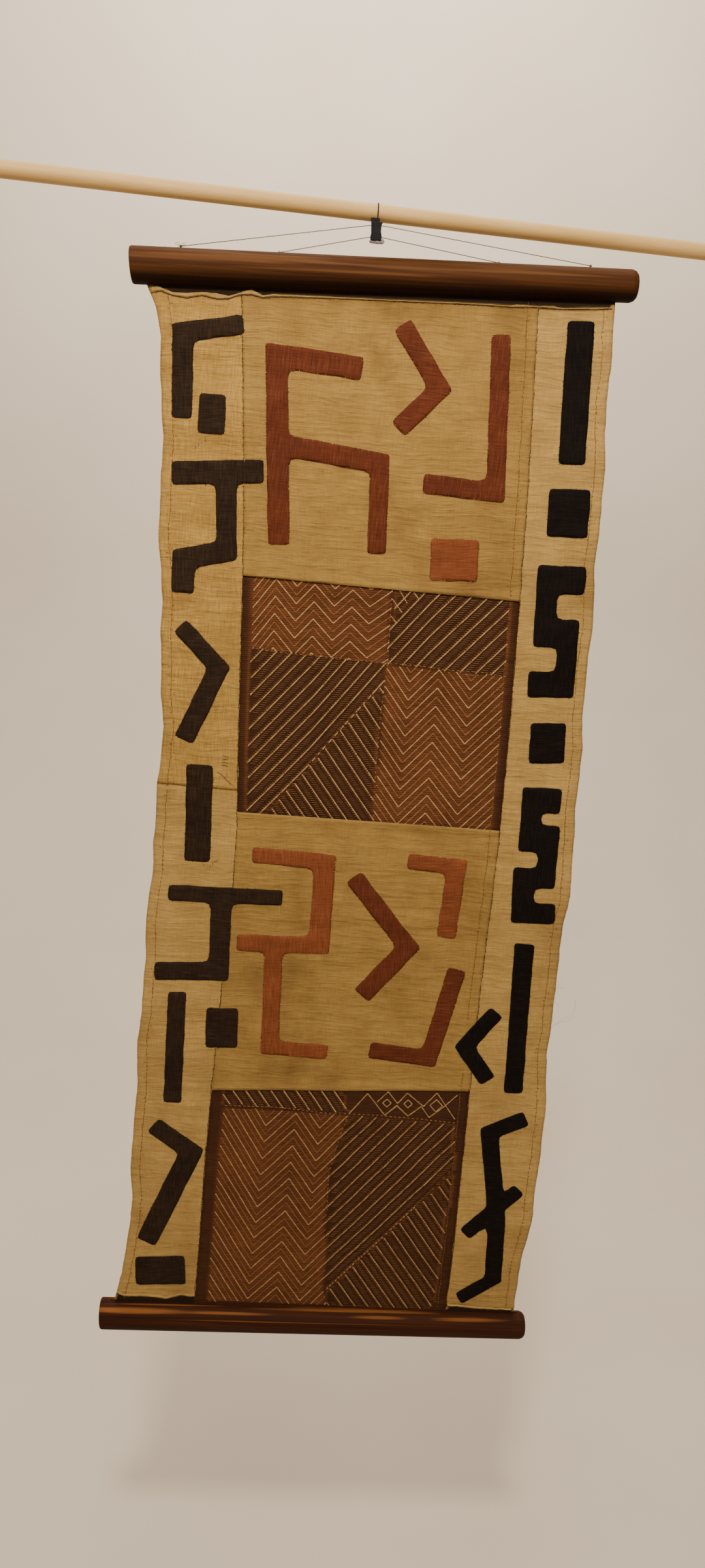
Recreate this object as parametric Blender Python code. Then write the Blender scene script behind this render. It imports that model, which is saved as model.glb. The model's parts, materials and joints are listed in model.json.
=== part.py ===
"""Kuba cloth wall hanging: a pieced raffia cloth between two round battens, on a clip and a rod.

The cloth hangs in the plane Y = 0 and faces -Y, X runs along its width and Z is up. The origin
is on the rod's centre line, over the clip's hook. Every size below is in millimetres.
"""
import math

import bmesh
import bpy
from mathutils import Matrix, Vector
from mathutils.geometry import delaunay_2d_cdt

MM = 0.001
GAP = 0.3

# Rod: a round wooden dowel, level, turned a little in plan from the hanging below it
ROD_DIAMETER = 20.0
ROD_LEFT = 458.0
ROD_RIGHT = 443.0
ROD_TURN = math.radians(8.0)
ROD_CHAMFER = 0.8
ROD_SIDES = 32

# Battens: round poles, thicker at the left end, with a saw kerf that takes the cloth's edge
BATTEN_LENGTH = 620.0
BATTEN_LEFT_RADIUS = 21.75
BATTEN_RIGHT_RADIUS = 19.25
BATTEN_SIDES = 28
END_CUT = math.radians(3.5)
KERF_WIDTH = 2.6
KERF_ROOF = 8.5
KERF_END = 4.0
BATTENS = {
    "top_batten": {"x": 14.0, "z": -70.0, "tilt": math.radians(1.63), "kerf_side": -1},
    "bottom_batten": {"x": 5.5, "z": -1506.5, "tilt": math.radians(0.5), "kerf_side": 1},
}
# A row for each ring of a batten: distance from the left end, and how far it lies inside the taper
BATTEN_RINGS = (
    (0.0, 1.0),
    (1.5, 0.0),
    (310.0, 0.0),
    (612.0, 0.0),
    (616.5, 1.6),
    (619.2, 4.6),
    (620.0, 8.0),
)

# Clip: a back plate with a wire hook over the rod, and a waisted jaw that nips the threads
WIRE_DIAMETER = 1.6
HOOK_X = -1.0
HOOK_RADIUS = 11.4
HOOK_DROP = 0.25
HOOK_END = math.radians(-25.0)
HOOK_STEPS = 12
PLATE_BACK = -10.4
PLATE_THICKNESS = 2.0
PLATE_OUTLINE = ((-9.0, -8.5), (1.5, -8.5), (2.0, -33.0), (-7.5, -33.0))
THREAD_Y = -13.2
JAW_BACK = -14.0
JAW_THICKNESS = 3.0
JAW_OUTLINE = (
    (-8.6, -14.5), (5.4, -14.0), (3.8, -18.0), (3.8, -25.0), (5.2, -31.0), (4.0, -34.6),
    (-7.6, -34.8), (-9.0, -32.5), (-7.8, -25.0), (-7.6, -18.0),
)
CLIP_BEVEL = 0.4

# Threads: each runs from a knot on the batten through the clip to a second knot
THREAD_DIAMETER = 1.0
KNOT_RADIUS = 1.7
THREADS = {
    "upper_thread": {"left_x": -237.0, "right_x": 264.0, "clip_z": -17.8, "knot_y": 0.0},
    "lower_thread": {"left_x": -118.0, "right_x": 152.0, "clip_z": -31.0, "knot_y": 5.0},
}
THREAD_REACH = 9.0
# Swelling of a thread at its knot: distance from the end in millimetres, and thread radii
KNOT_ROWS = ((0.0, 0.5), (0.5, 2.4), (1.7, 3.4), (2.9, 2.4), (3.8, 1.0))

# Cloth: raffia panels side by side, the seams butted with a hair of clearance
PANEL_THICKNESS = 1.5
APPLIQUE_THICKNESS = 1.0
SEAM_GAP = 0.4
EDGE_IN_KERF = 9.1
# Lines down the cloth, a row for each level: the two outer edges and the two long seams
EDGE_ROWS = (
    {"z": -70.0, "left": -276.0, "left_seam": -163.0, "right_seam": 203.0, "right": 298.0},
    {"z": -150.0, "left": -257.0, "left_seam": -158.0, "right_seam": 206.0, "right": 300.0},
    {"z": -370.0, "left": -253.0, "left_seam": -147.0, "right_seam": 212.0, "right": 307.0},
    {"z": -640.0, "left": -242.0, "left_seam": -142.0, "right_seam": 215.0, "right": 314.0},
    {"z": -810.0, "left": -250.0, "left_seam": -139.0, "right_seam": 213.0, "right": 315.0},
    {"z": -1000.0, "left": -257.0, "left_seam": -150.0, "right_seam": 207.0, "right": 311.0},
    {"z": -1240.0, "left": -266.0, "left_seam": -162.0, "right_seam": 203.0, "right": 314.0},
    {"z": -1400.0, "left": -270.0, "left_seam": -167.0, "right_seam": 200.0, "right": 302.0},
    {"z": -1520.0, "left": -292.0, "left_seam": -171.0, "right_seam": 197.0, "right": 297.0},
)
# Seams across the cloth: their height at the left and at the right end
CROSS_SEAMS = {
    "strip": (-718.0, -722.0),
    "upper_square_top": (-439.0, -450.0),
    "upper_square_foot": (-754.0, -760.0),
    "lower_square_top": (-1149.0, -1134.0),
}
# Hem unevenness of the two outer edges: wave length along the edge and height of each wave
HEM_WAVES = ((173.0, 1.6), (97.0, 1.1))

# Folds: soft waves of the hanging cloth, towards the viewer where the rise is positive
FOLD_CELL_X = 30.0
FOLD_CELL_Z = 40.0
FLAT_BY_BATTEN = 44.0
FULL_BY_BATTEN = 130.0
FOLDS = (
    {"x": -265.0, "z": -240.0, "half_x": 55.0, "half_z": 110.0, "rise": -7.0},
    {"x": -245.0, "z": -560.0, "half_x": 60.0, "half_z": 90.0, "rise": 6.0},
    {"x": -250.0, "z": -800.0, "half_x": 70.0, "half_z": 70.0, "rise": -6.0},
    {"x": -265.0, "z": -1040.0, "half_x": 60.0, "half_z": 110.0, "rise": 6.0},
    {"x": -275.0, "z": -1330.0, "half_x": 60.0, "half_z": 90.0, "rise": -6.0},
    {"x": 305.0, "z": -300.0, "half_x": 60.0, "half_z": 110.0, "rise": 5.0},
    {"x": 312.0, "z": -600.0, "half_x": 55.0, "half_z": 90.0, "rise": -7.0},
    {"x": 315.0, "z": -830.0, "half_x": 60.0, "half_z": 80.0, "rise": 8.0},
    {"x": 312.0, "z": -1090.0, "half_x": 60.0, "half_z": 100.0, "rise": -6.0},
    {"x": 305.0, "z": -1330.0, "half_x": 60.0, "half_z": 90.0, "rise": 6.0},
    {"x": 20.0, "z": -330.0, "half_x": 190.0, "half_z": 130.0, "rise": 4.0},
    {"x": 60.0, "z": -980.0, "half_x": 170.0, "half_z": 120.0, "rise": -4.0},
    {"x": 0.0, "z": -1300.0, "half_x": 180.0, "half_z": 120.0, "rise": 3.5},
)

# Appliques: a row for each band of cloth in a piece, along its middle line. A row holds a point
# and the width of the band that leaves it, and the last row of a band ends it.
CORNER_OUT = 5.0
CORNER_IN = 9.0
CORNER_STEPS = 2
APPLIQUES = {
    "left_hook": [((-230, -253, 26), (-231, -152, 23), (-157, -138, 0))],
    "left_square": [((-192, -222, 34), (-192, -270, 0))],
    "left_table": [
        ((-240, -320, 29), (-124, -311, 0)),
        ((-171, -320, 26), (-167, -412, 27), (-221, -425, 29), (-221, -468, 0)),
    ],
    "left_chevron": [((-222, -509, 23), (-171, -561, 26), (-213, -658, 0))],
    "left_bar": [((-191, -690, 35), (-190, -823, 0))],
    "left_table_low": [
        ((-227, -868, 22), (-73, -868, 0)),
        ((-155, -868, 28), (-155, -977, 26), (-242, -979, 0)),
    ],
    "left_bar_low": [((-210, -1008, 25), (-212, -1172, 0))],
    "left_square_low": [((-148, -1029, 44), (-147, -1088, 0))],
    "left_seven": [((-238, -1209, 27), (-183, -1247, 30), (-243, -1392, 0))],
    "left_block": [((-257, -1438, 45), (-185, -1434, 0))],
    "right_bar": [((259, -106, 34), (263, -278, 0))],
    "right_round": [((264, -308, 53), (266, -368, 0))],
    "right_ess": [
        ((296, -421, 36), (247, -422, 28), (249, -491, 37), (281, -490, 27), (283, -557, 35),
         (234, -559, 0)),
    ],
    "right_square": [((267, -609, 48), (269, -663, 0))],
    "right_ess_low": [
        ((293, -713, 34), (254, -713, 28), (255, -766, 36), (282, -765, 26), (281, -820, 28),
         (252, -821, 29), (254, -871, 29), (299, -869, 0)),
    ],
    "right_bar_low": [((262, -915, 27), (267, -1138, 0))],
    "right_arrow": [((233, -1017, 23), (192, -1070, 24), (229, -1120, 0))],
    "right_cross": [
        ((289, -1175, 23), (238, -1198, 25), (259, -1330, 25), (263, -1430, 20), (215, -1464, 0)),
        ((215, -1358, 21), (287, -1283, 0)),
    ],
    "red_aitch": [
        ((-101, -400, 28), (-115, -172, 28), (-8, -180, 0)),
        ((-108, -277, 26), (21, -292, 24), (24, -404, 0)),
    ],
    "red_chevron": [((38, -125, 24), (90, -198, 24), (41, -249, 0))],
    "red_jay": [((161, -128, 24), (170, -318, 24), (77, -313, 0))],
    "light_square": [((123, -379, 62), (125, -432, 0))],
    "rust_ess": [
        ((-116, -809, 22), (-18, -814, 29), (-20, -933, 24), (-132, -934, 0)),
        ((-81, -934, 25), (-80, -1085, 21), (1, -1088, 0)),
    ],
    "rust_seven": [((93, -807, 22), (160, -811, 26), (154, -913, 0))],
    "red_chevron_low": [((22, -833, 25), (103, -930, 27), (43, -1003, 0))],
    "red_jay_low": [((173, -958, 25), (143, -1090, 24), (59, -1082, 0))],
}

# Colour of each material, linear, then its roughness and metallic value
FINISHES = {
    "plain_raffia": ((0.48, 0.32, 0.11), 0.9, 0.0),
    "ribbed_raffia": ((0.10, 0.035, 0.012), 0.85, 0.0),
    "black_raffia": ((0.014, 0.009, 0.008), 0.9, 0.0),
    "red_raffia": ((0.19, 0.052, 0.018), 0.9, 0.0),
    "rust_raffia": ((0.29, 0.09, 0.035), 0.9, 0.0),
    "dark_wood": ((0.12, 0.045, 0.016), 0.45, 0.0),
    "pale_wood": ((0.68, 0.48, 0.25), 0.6, 0.0),
    "black_plastic": ((0.01, 0.01, 0.01), 0.4, 0.0),
    "black_wire": ((0.05, 0.035, 0.025), 0.4, 1.0),
    "grey_thread": ((0.30, 0.26, 0.20), 0.9, 0.0),
}


def material(name):
    """Return the named Principled material, made on first use."""
    if name in bpy.data.materials:
        return bpy.data.materials[name]
    colour, roughness, metallic = FINISHES[name]
    new = bpy.data.materials.new(name)
    new.use_nodes = True
    shader = new.node_tree.nodes["Principled BSDF"]
    shader.inputs["Base Color"].default_value = (*colour, 1.0)
    shader.inputs["Roughness"].default_value = roughness
    shader.inputs["Metallic"].default_value = metallic
    return new


def add_mesh(name, bm, finish):
    """Turn a bmesh in millimetres into a named object in metres."""
    bmesh.ops.scale(bm, vec=(MM, MM, MM), verts=bm.verts)
    mesh = bpy.data.meshes.new(name)
    bm.to_mesh(mesh)
    bm.free()
    mesh.materials.append(material(finish))
    new = bpy.data.objects.new(name, mesh)
    bpy.context.collection.objects.link(new)
    return new


def add_wire(name, points, radii, diameter, finish):
    """Make a round wire or thread through points in millimetres, swollen by its radii."""
    curve = bpy.data.curves.new(name, "CURVE")
    curve.dimensions = "3D"
    curve.bevel_depth = diameter / 2 * MM
    curve.bevel_resolution = 2
    curve.use_fill_caps = True
    spline = curve.splines.new("POLY")
    spline.points.add(len(points) - 1)
    for knot, point, radius in zip(spline.points, points, radii):
        knot.co = (*(Vector(point) * MM), 1.0)
        knot.radius = radius
    curve.materials.append(material(finish))
    new = bpy.data.objects.new(name, curve)
    bpy.context.collection.objects.link(new)
    return new


def ring_solid(rings, sides):
    """Loft a closed round solid along X through (x, radius) rings."""
    bm = bmesh.new()
    turn = Matrix.Rotation(math.pi / 2, 4, "Y")
    edges = []
    for x, radius in rings:
        place = Matrix.Translation((x, 0, 0)) @ turn
        circle = bmesh.ops.create_circle(bm, segments=sides, radius=radius, matrix=place)
        edges.append({edge for vert in circle["verts"] for edge in vert.link_edges})
    for first, second in zip(edges, edges[1:]):
        bmesh.ops.bridge_loops(bm, edges=list(first | second))
    for end in (edges[0], edges[-1]):
        bmesh.ops.contextual_create(bm, geom=list(end))
    bmesh.ops.recalc_face_normals(bm, faces=bm.faces)
    return bm


def shade_round(part, angle=math.radians(40.0)):
    """Shade a round part smooth but for its sharp rims."""
    part.data.shade_smooth()
    part.data.set_sharp_from_angle(angle=angle)


def rod():
    """The dowel from which the clip hangs, its ends cut square."""
    inner = ROD_DIAMETER / 2 - ROD_CHAMFER
    bm = ring_solid(
        (
            (-ROD_LEFT, inner),
            (-ROD_LEFT + ROD_CHAMFER, ROD_DIAMETER / 2),
            (ROD_RIGHT - ROD_CHAMFER, ROD_DIAMETER / 2),
            (ROD_RIGHT, inner),
        ),
        ROD_SIDES,
    )
    bmesh.ops.rotate(bm, verts=bm.verts, matrix=Matrix.Rotation(ROD_TURN, 3, "Z"))
    shade_round(add_mesh("support_rod", bm, "pale_wood"))


def batten_radius(along):
    """Radius of a batten's taper at a distance from its left end."""
    return BATTEN_LEFT_RADIUS + (BATTEN_RIGHT_RADIUS - BATTEN_LEFT_RADIUS) * along / BATTEN_LENGTH


def batten_axis(name, x):
    """Height of a batten's centre line at x."""
    row = BATTENS[name]
    return row["z"] + (x - row["x"]) * math.tan(row["tilt"])


def batten(name):
    """A tapered pole: the left end sawn a little oblique, the right end rounded, a kerf inside."""
    row = BATTENS[name]
    bm = ring_solid([(x, batten_radius(x) - inset) for x, inset in BATTEN_RINGS], BATTEN_SIDES)
    for vert in bm.verts:
        if vert.co.x < BATTEN_RINGS[1][0] + GAP:
            vert.co.x -= vert.co.z * math.tan(END_CUT)
    place = (
        Matrix.Translation((row["x"], 0, row["z"]))
        @ Matrix.Rotation(-row["tilt"], 4, "Y")
    )
    bmesh.ops.translate(bm, verts=bm.verts, vec=(-BATTEN_LENGTH / 2, 0, 0))
    bmesh.ops.transform(bm, matrix=place, verts=bm.verts)
    pole = add_mesh(name, bm, "dark_wood")

    level = row["z"]
    kerf_left = edge_x("left", level) - KERF_END
    kerf_right = edge_x("right", level) + KERF_END
    depth = BATTEN_LEFT_RADIUS
    cutter = bmesh.new()
    bmesh.ops.create_cube(cutter, size=1.0)
    bmesh.ops.scale(cutter, vec=(kerf_right - kerf_left, KERF_WIDTH, depth), verts=cutter.verts)
    centre = ((kerf_left + kerf_right) / 2 - row["x"], 0, row["kerf_side"] * (KERF_ROOF + depth / 2))
    bmesh.ops.translate(cutter, verts=cutter.verts, vec=centre)
    bmesh.ops.transform(cutter, matrix=place, verts=cutter.verts)
    kerf = add_mesh(name + "_kerf", cutter, "dark_wood")
    kerf.hide_render = True
    kerf.display_type = "WIRE"
    cut = pole.modifiers.new("kerf", "BOOLEAN")
    cut.operation = "DIFFERENCE"
    cut.object = kerf
    shade_round(pole)


def plate(name, outline, back, thickness):
    """A flat clip part: an outline in X and Z, thickened towards the viewer, with eased edges."""
    bm = bmesh.new()
    bm.faces.new([bm.verts.new((x, back, z)) for x, z in outline])
    grown = bmesh.ops.extrude_face_region(bm, geom=bm.faces[:])
    front = [item for item in grown["geom"] if isinstance(item, bmesh.types.BMVert)]
    bmesh.ops.translate(bm, verts=front, vec=(0, -thickness, 0))
    bmesh.ops.recalc_face_normals(bm, faces=bm.faces)
    bmesh.ops.bevel(
        bm, geom=bm.edges[:], offset=CLIP_BEVEL, affect="EDGES", segments=1, profile=0.5, material=-1
    )
    add_mesh(name, bm, "black_plastic")


def hook():
    """The clip's wire: up in front of the rod, over it, and a short way down behind."""
    stem_foot = PLATE_OUTLINE[0][1] + GAP
    points = [(HOOK_X, -HOOK_RADIUS, stem_foot), (HOOK_X, -HOOK_RADIUS, stem_foot / 2)]
    for step in range(HOOK_STEPS + 1):
        angle = math.pi + (HOOK_END - math.pi) * step / HOOK_STEPS
        y = HOOK_RADIUS * math.cos(angle)
        z = HOOK_RADIUS * math.sin(angle) - HOOK_DROP
        points.append((HOOK_X, y, z))
    add_wire("clip_hook", points, [1.0] * len(points), WIRE_DIAMETER, "black_wire")


def thread(name):
    """A thread tied at both ends on the top batten and nipped in the clip."""
    row = THREADS[name]
    clip_left = Vector((-THREAD_REACH - 1.0, THREAD_Y, row["clip_z"]))
    clip_right = Vector((THREAD_REACH - 2.0, THREAD_Y, row["clip_z"] + 0.4))
    points, radii = [], []
    for x, clip_end in ((row["left_x"], clip_left), (row["right_x"], clip_right)):
        along = x - BATTENS["top_batten"]["x"] + BATTEN_LENGTH / 2
        reach = batten_radius(along) + KNOT_RADIUS + GAP
        z = batten_axis("top_batten", x) + math.sqrt(reach ** 2 - row["knot_y"] ** 2)
        end = Vector((x, row["knot_y"], z))
        run = (clip_end - end).normalized()
        half = [(end + run * (back - KNOT_RADIUS), radius) for back, radius in KNOT_ROWS]
        half.append((end.lerp(clip_end, 0.5), 1.0))
        half.append((clip_end, 1.0))
        if points:
            half.reverse()
        points += [point for point, radius in half]
        radii += [radius for point, radius in half]
    add_wire(name, points, radii, THREAD_DIAMETER, "grey_thread")


def smooth_row(column, z):
    """Read a column of EDGE_ROWS at height z along a smooth curve through its rows."""
    last = len(EDGE_ROWS) - 2
    i = 0
    while i < last and EDGE_ROWS[i + 1]["z"] > z:
        i += 1
    rows = EDGE_ROWS[max(i - 1, 0)], EDGE_ROWS[i], EDGE_ROWS[i + 1], EDGE_ROWS[min(i + 2, last + 1)]
    before, start, end, after = rows
    span = end["z"] - start["z"]
    t = (z - start["z"]) / span
    slope_start = (end[column] - before[column]) / (end["z"] - before["z"]) * span
    slope_end = (after[column] - start[column]) / (after["z"] - start["z"]) * span
    return (
        (2 * t ** 3 - 3 * t ** 2 + 1) * start[column]
        + (t ** 3 - 2 * t ** 2 + t) * slope_start
        + (3 * t ** 2 - 2 * t ** 3) * end[column]
        + (t ** 3 - t ** 2) * slope_end
    )


def station_x(column, step):
    """Where an edge or seam crosses the fold grid's horizontal line of that number."""
    z = step * FOLD_CELL_Z
    x = smooth_row(column, z)
    if column in ("left", "right"):
        x += sum(height * math.sin(2 * math.pi * z / length) for length, height in HEM_WAVES)
    return x


def edge_x(column, z):
    """An edge or seam at height z, straight between the grid's horizontal lines."""
    step = math.floor(z / FOLD_CELL_Z)
    part = z / FOLD_CELL_Z - step
    return station_x(column, step) * (1 - part) + station_x(column, step + 1) * part


def fold_y(x, z):
    """How far the hanging cloth stands from its plane at a corner of the fold grid."""
    top_room = batten_axis("top_batten", x) - BATTEN_LEFT_RADIUS - z
    foot_room = z - batten_axis("bottom_batten", x) - BATTEN_LEFT_RADIUS
    room = min(top_room, foot_room)
    free = min(max((room - FLAT_BY_BATTEN) / (FULL_BY_BATTEN - FLAT_BY_BATTEN), 0.0), 1.0)
    free = free * free * (3 - 2 * free)
    total = 0.0
    for fold in FOLDS:
        away = ((x - fold["x"]) / fold["half_x"]) ** 2 + ((z - fold["z"]) / fold["half_z"]) ** 2
        total += fold["rise"] * math.exp(-away)
    return -total * free


def cloth_y(x, z):
    """The cloth's middle surface, flat inside each triangle of the fold grid."""
    i = math.floor(x / FOLD_CELL_X)
    j = math.floor(z / FOLD_CELL_Z)
    u = x / FOLD_CELL_X - i
    v = z / FOLD_CELL_Z - j

    def corner(across, up):
        return fold_y((i + across) * FOLD_CELL_X, (j + up) * FOLD_CELL_Z)

    if u + v <= 1:
        return corner(0, 0) + u * (corner(1, 0) - corner(0, 0)) + v * (corner(0, 1) - corner(0, 0))
    return (
        corner(1, 1)
        + (1 - u) * (corner(0, 1) - corner(1, 1))
        + (1 - v) * (corner(1, 0) - corner(1, 1))
    )


def grid_lines(outline):
    """End points of the fold grid's lines, upright, level and diagonal, across an outline."""
    low_i = math.floor(min(x for x, z in outline) / FOLD_CELL_X)
    high_i = math.ceil(max(x for x, z in outline) / FOLD_CELL_X)
    low_j = math.floor(min(z for x, z in outline) / FOLD_CELL_Z)
    high_j = math.ceil(max(z for x, z in outline) / FOLD_CELL_Z)
    lines = [((i, low_j), (i, high_j)) for i in range(low_i, high_i + 1)]
    lines += [((low_i, j), (high_i, j)) for j in range(low_j, high_j + 1)]
    for total in range(low_i + low_j + 1, high_i + high_j):
        first_i = max(low_i, total - high_j)
        last_i = min(high_i, total - low_j)
        lines.append(((first_i, total - first_i), (last_i, total - last_i)))
    return [[(i * FOLD_CELL_X, j * FOLD_CELL_Z) for i, j in line] for line in lines]


def cut_sheet(name, outline, front, thickness, finish):
    """Cut an outline along the fold grid, lay it on the folds, and give it its thickness.

    front is how far the sheet's front lies before the cloth's middle surface.
    """
    points = [Vector(point) for point in outline]
    faces = [list(range(len(points)))]
    edges = []
    for line in grid_lines(outline):
        edges.append((len(points), len(points) + 1))
        points += [Vector(end) for end in line]
    verts, _, triangles, _, _, inside = delaunay_2d_cdt(points, edges, faces, 0, 0.02)
    bm = bmesh.new()
    placed = [bm.verts.new((v.x, cloth_y(v.x, v.y) - front, v.y)) for v in verts]
    for triangle, owners in zip(triangles, inside):
        if owners:
            bm.faces.new([placed[index] for index in triangle])
    loose = [vert for vert in bm.verts if not vert.link_faces]
    bmesh.ops.delete(bm, geom=loose, context="VERTS")
    grown = bmesh.ops.extrude_face_region(bm, geom=bm.faces[:])
    back = [item for item in grown["geom"] if isinstance(item, bmesh.types.BMVert)]
    bmesh.ops.translate(bm, verts=back, vec=(0, thickness, 0))
    bmesh.ops.recalc_face_normals(bm, faces=bm.faces)
    add_mesh(name, bm, finish)


def edge_run(column, z_from, z_to, offset):
    """Points down or up an edge or seam, moved sideways by an offset."""
    heights = [z_from]
    step = math.floor(min(z_from, z_to) / FOLD_CELL_Z) + 1
    inner = []
    while step * FOLD_CELL_Z < max(z_from, z_to):
        inner.append(step * FOLD_CELL_Z)
        step += 1
    heights += inner if z_to > z_from else inner[::-1]
    heights.append(z_to)
    return [(edge_x(column, z) + offset, z) for z in heights]


def panel(name, columns, tops, feet, finish):
    """A panel between two edges or seams; tops and feet are its corner heights, left and right."""
    left, right = columns
    nip = SEAM_GAP / 2
    left_offset = 0.0 if left == "left" else nip
    right_offset = 0.0 if right == "right" else -nip
    outline = edge_run(left, tops[0], feet[0], left_offset)
    outline += edge_run(right, feet[1], tops[1], right_offset)
    cut_sheet(name, outline, PANEL_THICKNESS / 2, PANEL_THICKNESS, finish)


def kerf_heights(columns, batten_name):
    """Heights of a panel's two corners inside a batten's kerf."""
    row = BATTENS[batten_name]
    return [
        batten_axis(batten_name, edge_x(column, row["z"])) + row["kerf_side"] * EDGE_IN_KERF
        for column in columns
    ]


def seam_heights(seam, side):
    """Heights of a panel's two corners on a cross seam, above it or below it."""
    return [height + side * SEAM_GAP / 2 for height in CROSS_SEAMS[seam]]


def panels():
    """The seven panels of the cloth."""
    left = ("left", "left_seam")
    middle = ("left_seam", "right_seam")
    right = ("right_seam", "right")
    plain, ribbed = "plain_raffia", "ribbed_raffia"
    top, foot = "top_batten", "bottom_batten"
    panel("left_strip_upper", left, kerf_heights(left, top), seam_heights("strip", 1), plain)
    panel("left_strip_lower", left, seam_heights("strip", -1), kerf_heights(left, foot), plain)
    panel("right_strip", right, kerf_heights(right, top), kerf_heights(right, foot), plain)
    panel(
        "plain_panel_upper", middle,
        kerf_heights(middle, top), seam_heights("upper_square_top", 1), plain,
    )
    panel(
        "ribbed_square_upper", middle,
        seam_heights("upper_square_top", -1), seam_heights("upper_square_foot", 1), ribbed,
    )
    panel(
        "plain_panel_lower", middle,
        seam_heights("upper_square_foot", -1), seam_heights("lower_square_top", 1), plain,
    )
    panel(
        "ribbed_square_lower", middle,
        seam_heights("lower_square_top", -1), kerf_heights(middle, foot), ribbed,
    )


def band_outline(rows):
    """Outline, anticlockwise, of a mitred band whose middle line and widths the rows give."""
    runs = []
    for (x0, z0, width), (x1, z1, _) in zip(rows, rows[1:]):
        along = Vector((x1 - x0, z1 - z0)).normalized()
        side = Vector((-along.y, along.x)) * width / 2
        runs.append((Vector((x0, z0)), Vector((x1, z1)), along, side))
    sides = []
    for sign in (-1, 1):
        line = [runs[0][0] + runs[0][3] * sign]
        for first, second in zip(runs, runs[1:]):
            start = first[1] + first[3] * sign
            target = second[0] + second[3] * sign
            turn = first[2].cross(second[2])
            line.append(start + first[2] * (target - start).cross(second[2]) / turn)
        line.append(runs[-1][1] + runs[-1][3] * sign)
        sides.append(line)
    return sides[0] + sides[1][::-1]


def joined_outline(outlines):
    """One outline around overlapping bands."""
    points, faces = [], []
    for outline in outlines:
        faces.append(list(range(len(points), len(points) + len(outline))))
        points += outline
    verts, _, triangles, _, _, inside = delaunay_2d_cdt(points, [], faces, 0, 0.02)
    following = {}
    for triangle, owners in zip(triangles, inside):
        if owners:
            for first, second in zip(triangle, triangle[1:] + triangle[:1]):
                if following.get(second) and first in following[second]:
                    following[second].remove(first)
                else:
                    following.setdefault(first, set()).add(second)
    start = next(index for index, ends in following.items() if ends)
    loop = [start]
    while True:
        ahead = next(iter(following[loop[-1]]))
        if ahead == start:
            break
        loop.append(ahead)
    return [verts[index] for index in loop]


def rounded(outline):
    """Round an outline's corners, wider where the cloth turns inwards."""
    area = sum(a.cross(b) for a, b in zip(outline, outline[1:] + outline[:1]))
    smooth = []
    for i, corner in enumerate(outline):
        back = outline[i - 1] - corner
        ahead = outline[(i + 1) % len(outline)] - corner
        bend = back.angle(ahead)
        if math.pi - bend < math.radians(4.0):
            continue
        inward = (-back).cross(ahead) * area < 0
        radius = CORNER_IN if inward else CORNER_OUT
        reach = min(radius / math.tan(bend / 2), 0.45 * back.length, 0.45 * ahead.length)
        start = corner + back.normalized() * reach
        end = corner + ahead.normalized() * reach
        for step in range(CORNER_STEPS + 1):
            t = step / CORNER_STEPS
            smooth.append(start * (1 - t) ** 2 + corner * 2 * t * (1 - t) + end * t ** 2)
    return [(point.x, point.y) for point in smooth]


def applique(name):
    """A cut-out of dyed raffia, sewn flat on the front of the panels."""
    outline = rounded(joined_outline([band_outline(rows) for rows in APPLIQUES[name]]))
    finish = "black_raffia"
    if name.startswith("red"):
        finish = "red_raffia"
    elif name.startswith(("rust", "light")):
        finish = "rust_raffia"
    front = PANEL_THICKNESS / 2 + GAP + APPLIQUE_THICKNESS
    cut_sheet(name, outline, front, APPLIQUE_THICKNESS, finish)


def build():
    for old in list(bpy.data.objects):
        bpy.data.objects.remove(old, do_unlink=True)
    rod()
    hook()
    plate("clip_plate", PLATE_OUTLINE, PLATE_BACK, PLATE_THICKNESS)
    plate("clip_jaw", JAW_OUTLINE, JAW_BACK, JAW_THICKNESS)
    for name in THREADS:
        thread(name)
    for name in BATTENS:
        batten(name)
    panels()
    for name in APPLIQUES:
        applique(name)


build()
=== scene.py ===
import json
import math
import random

import bmesh
import bpy
from mathutils import Matrix, Vector, kdtree, noise
from mathutils.bvhtree import BVHTree


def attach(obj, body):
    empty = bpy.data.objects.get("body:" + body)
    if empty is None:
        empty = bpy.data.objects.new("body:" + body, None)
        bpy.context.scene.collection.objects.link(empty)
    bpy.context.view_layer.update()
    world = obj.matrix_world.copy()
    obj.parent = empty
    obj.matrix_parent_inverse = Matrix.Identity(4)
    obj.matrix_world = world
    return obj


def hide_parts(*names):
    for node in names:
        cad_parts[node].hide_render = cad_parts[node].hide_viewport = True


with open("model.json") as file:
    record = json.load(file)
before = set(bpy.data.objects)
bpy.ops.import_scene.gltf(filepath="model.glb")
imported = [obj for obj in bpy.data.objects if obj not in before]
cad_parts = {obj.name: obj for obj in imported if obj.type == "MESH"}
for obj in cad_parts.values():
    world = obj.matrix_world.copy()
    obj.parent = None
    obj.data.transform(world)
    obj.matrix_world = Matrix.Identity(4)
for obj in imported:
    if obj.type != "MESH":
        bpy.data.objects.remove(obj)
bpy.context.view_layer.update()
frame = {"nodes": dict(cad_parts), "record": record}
nodes = frame["nodes"]
MM = 0.001


# Camera: it stands 1.5 m in front of the cloth at chest height and looks a little down, so the
# battens keep their true lean and the cloth narrows towards its foot.
camera = bpy.data.objects.new("camera", bpy.data.cameras.new("camera"))
camera.location = (-0.050, -1.491, -0.411)
camera.rotation_euler = [math.radians(angle) for angle in (78.828, -3.553, -1.684)]
camera.data.lens = 26.24
bpy.context.scene.collection.objects.link(camera)
bpy.context.scene.camera = camera


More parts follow.
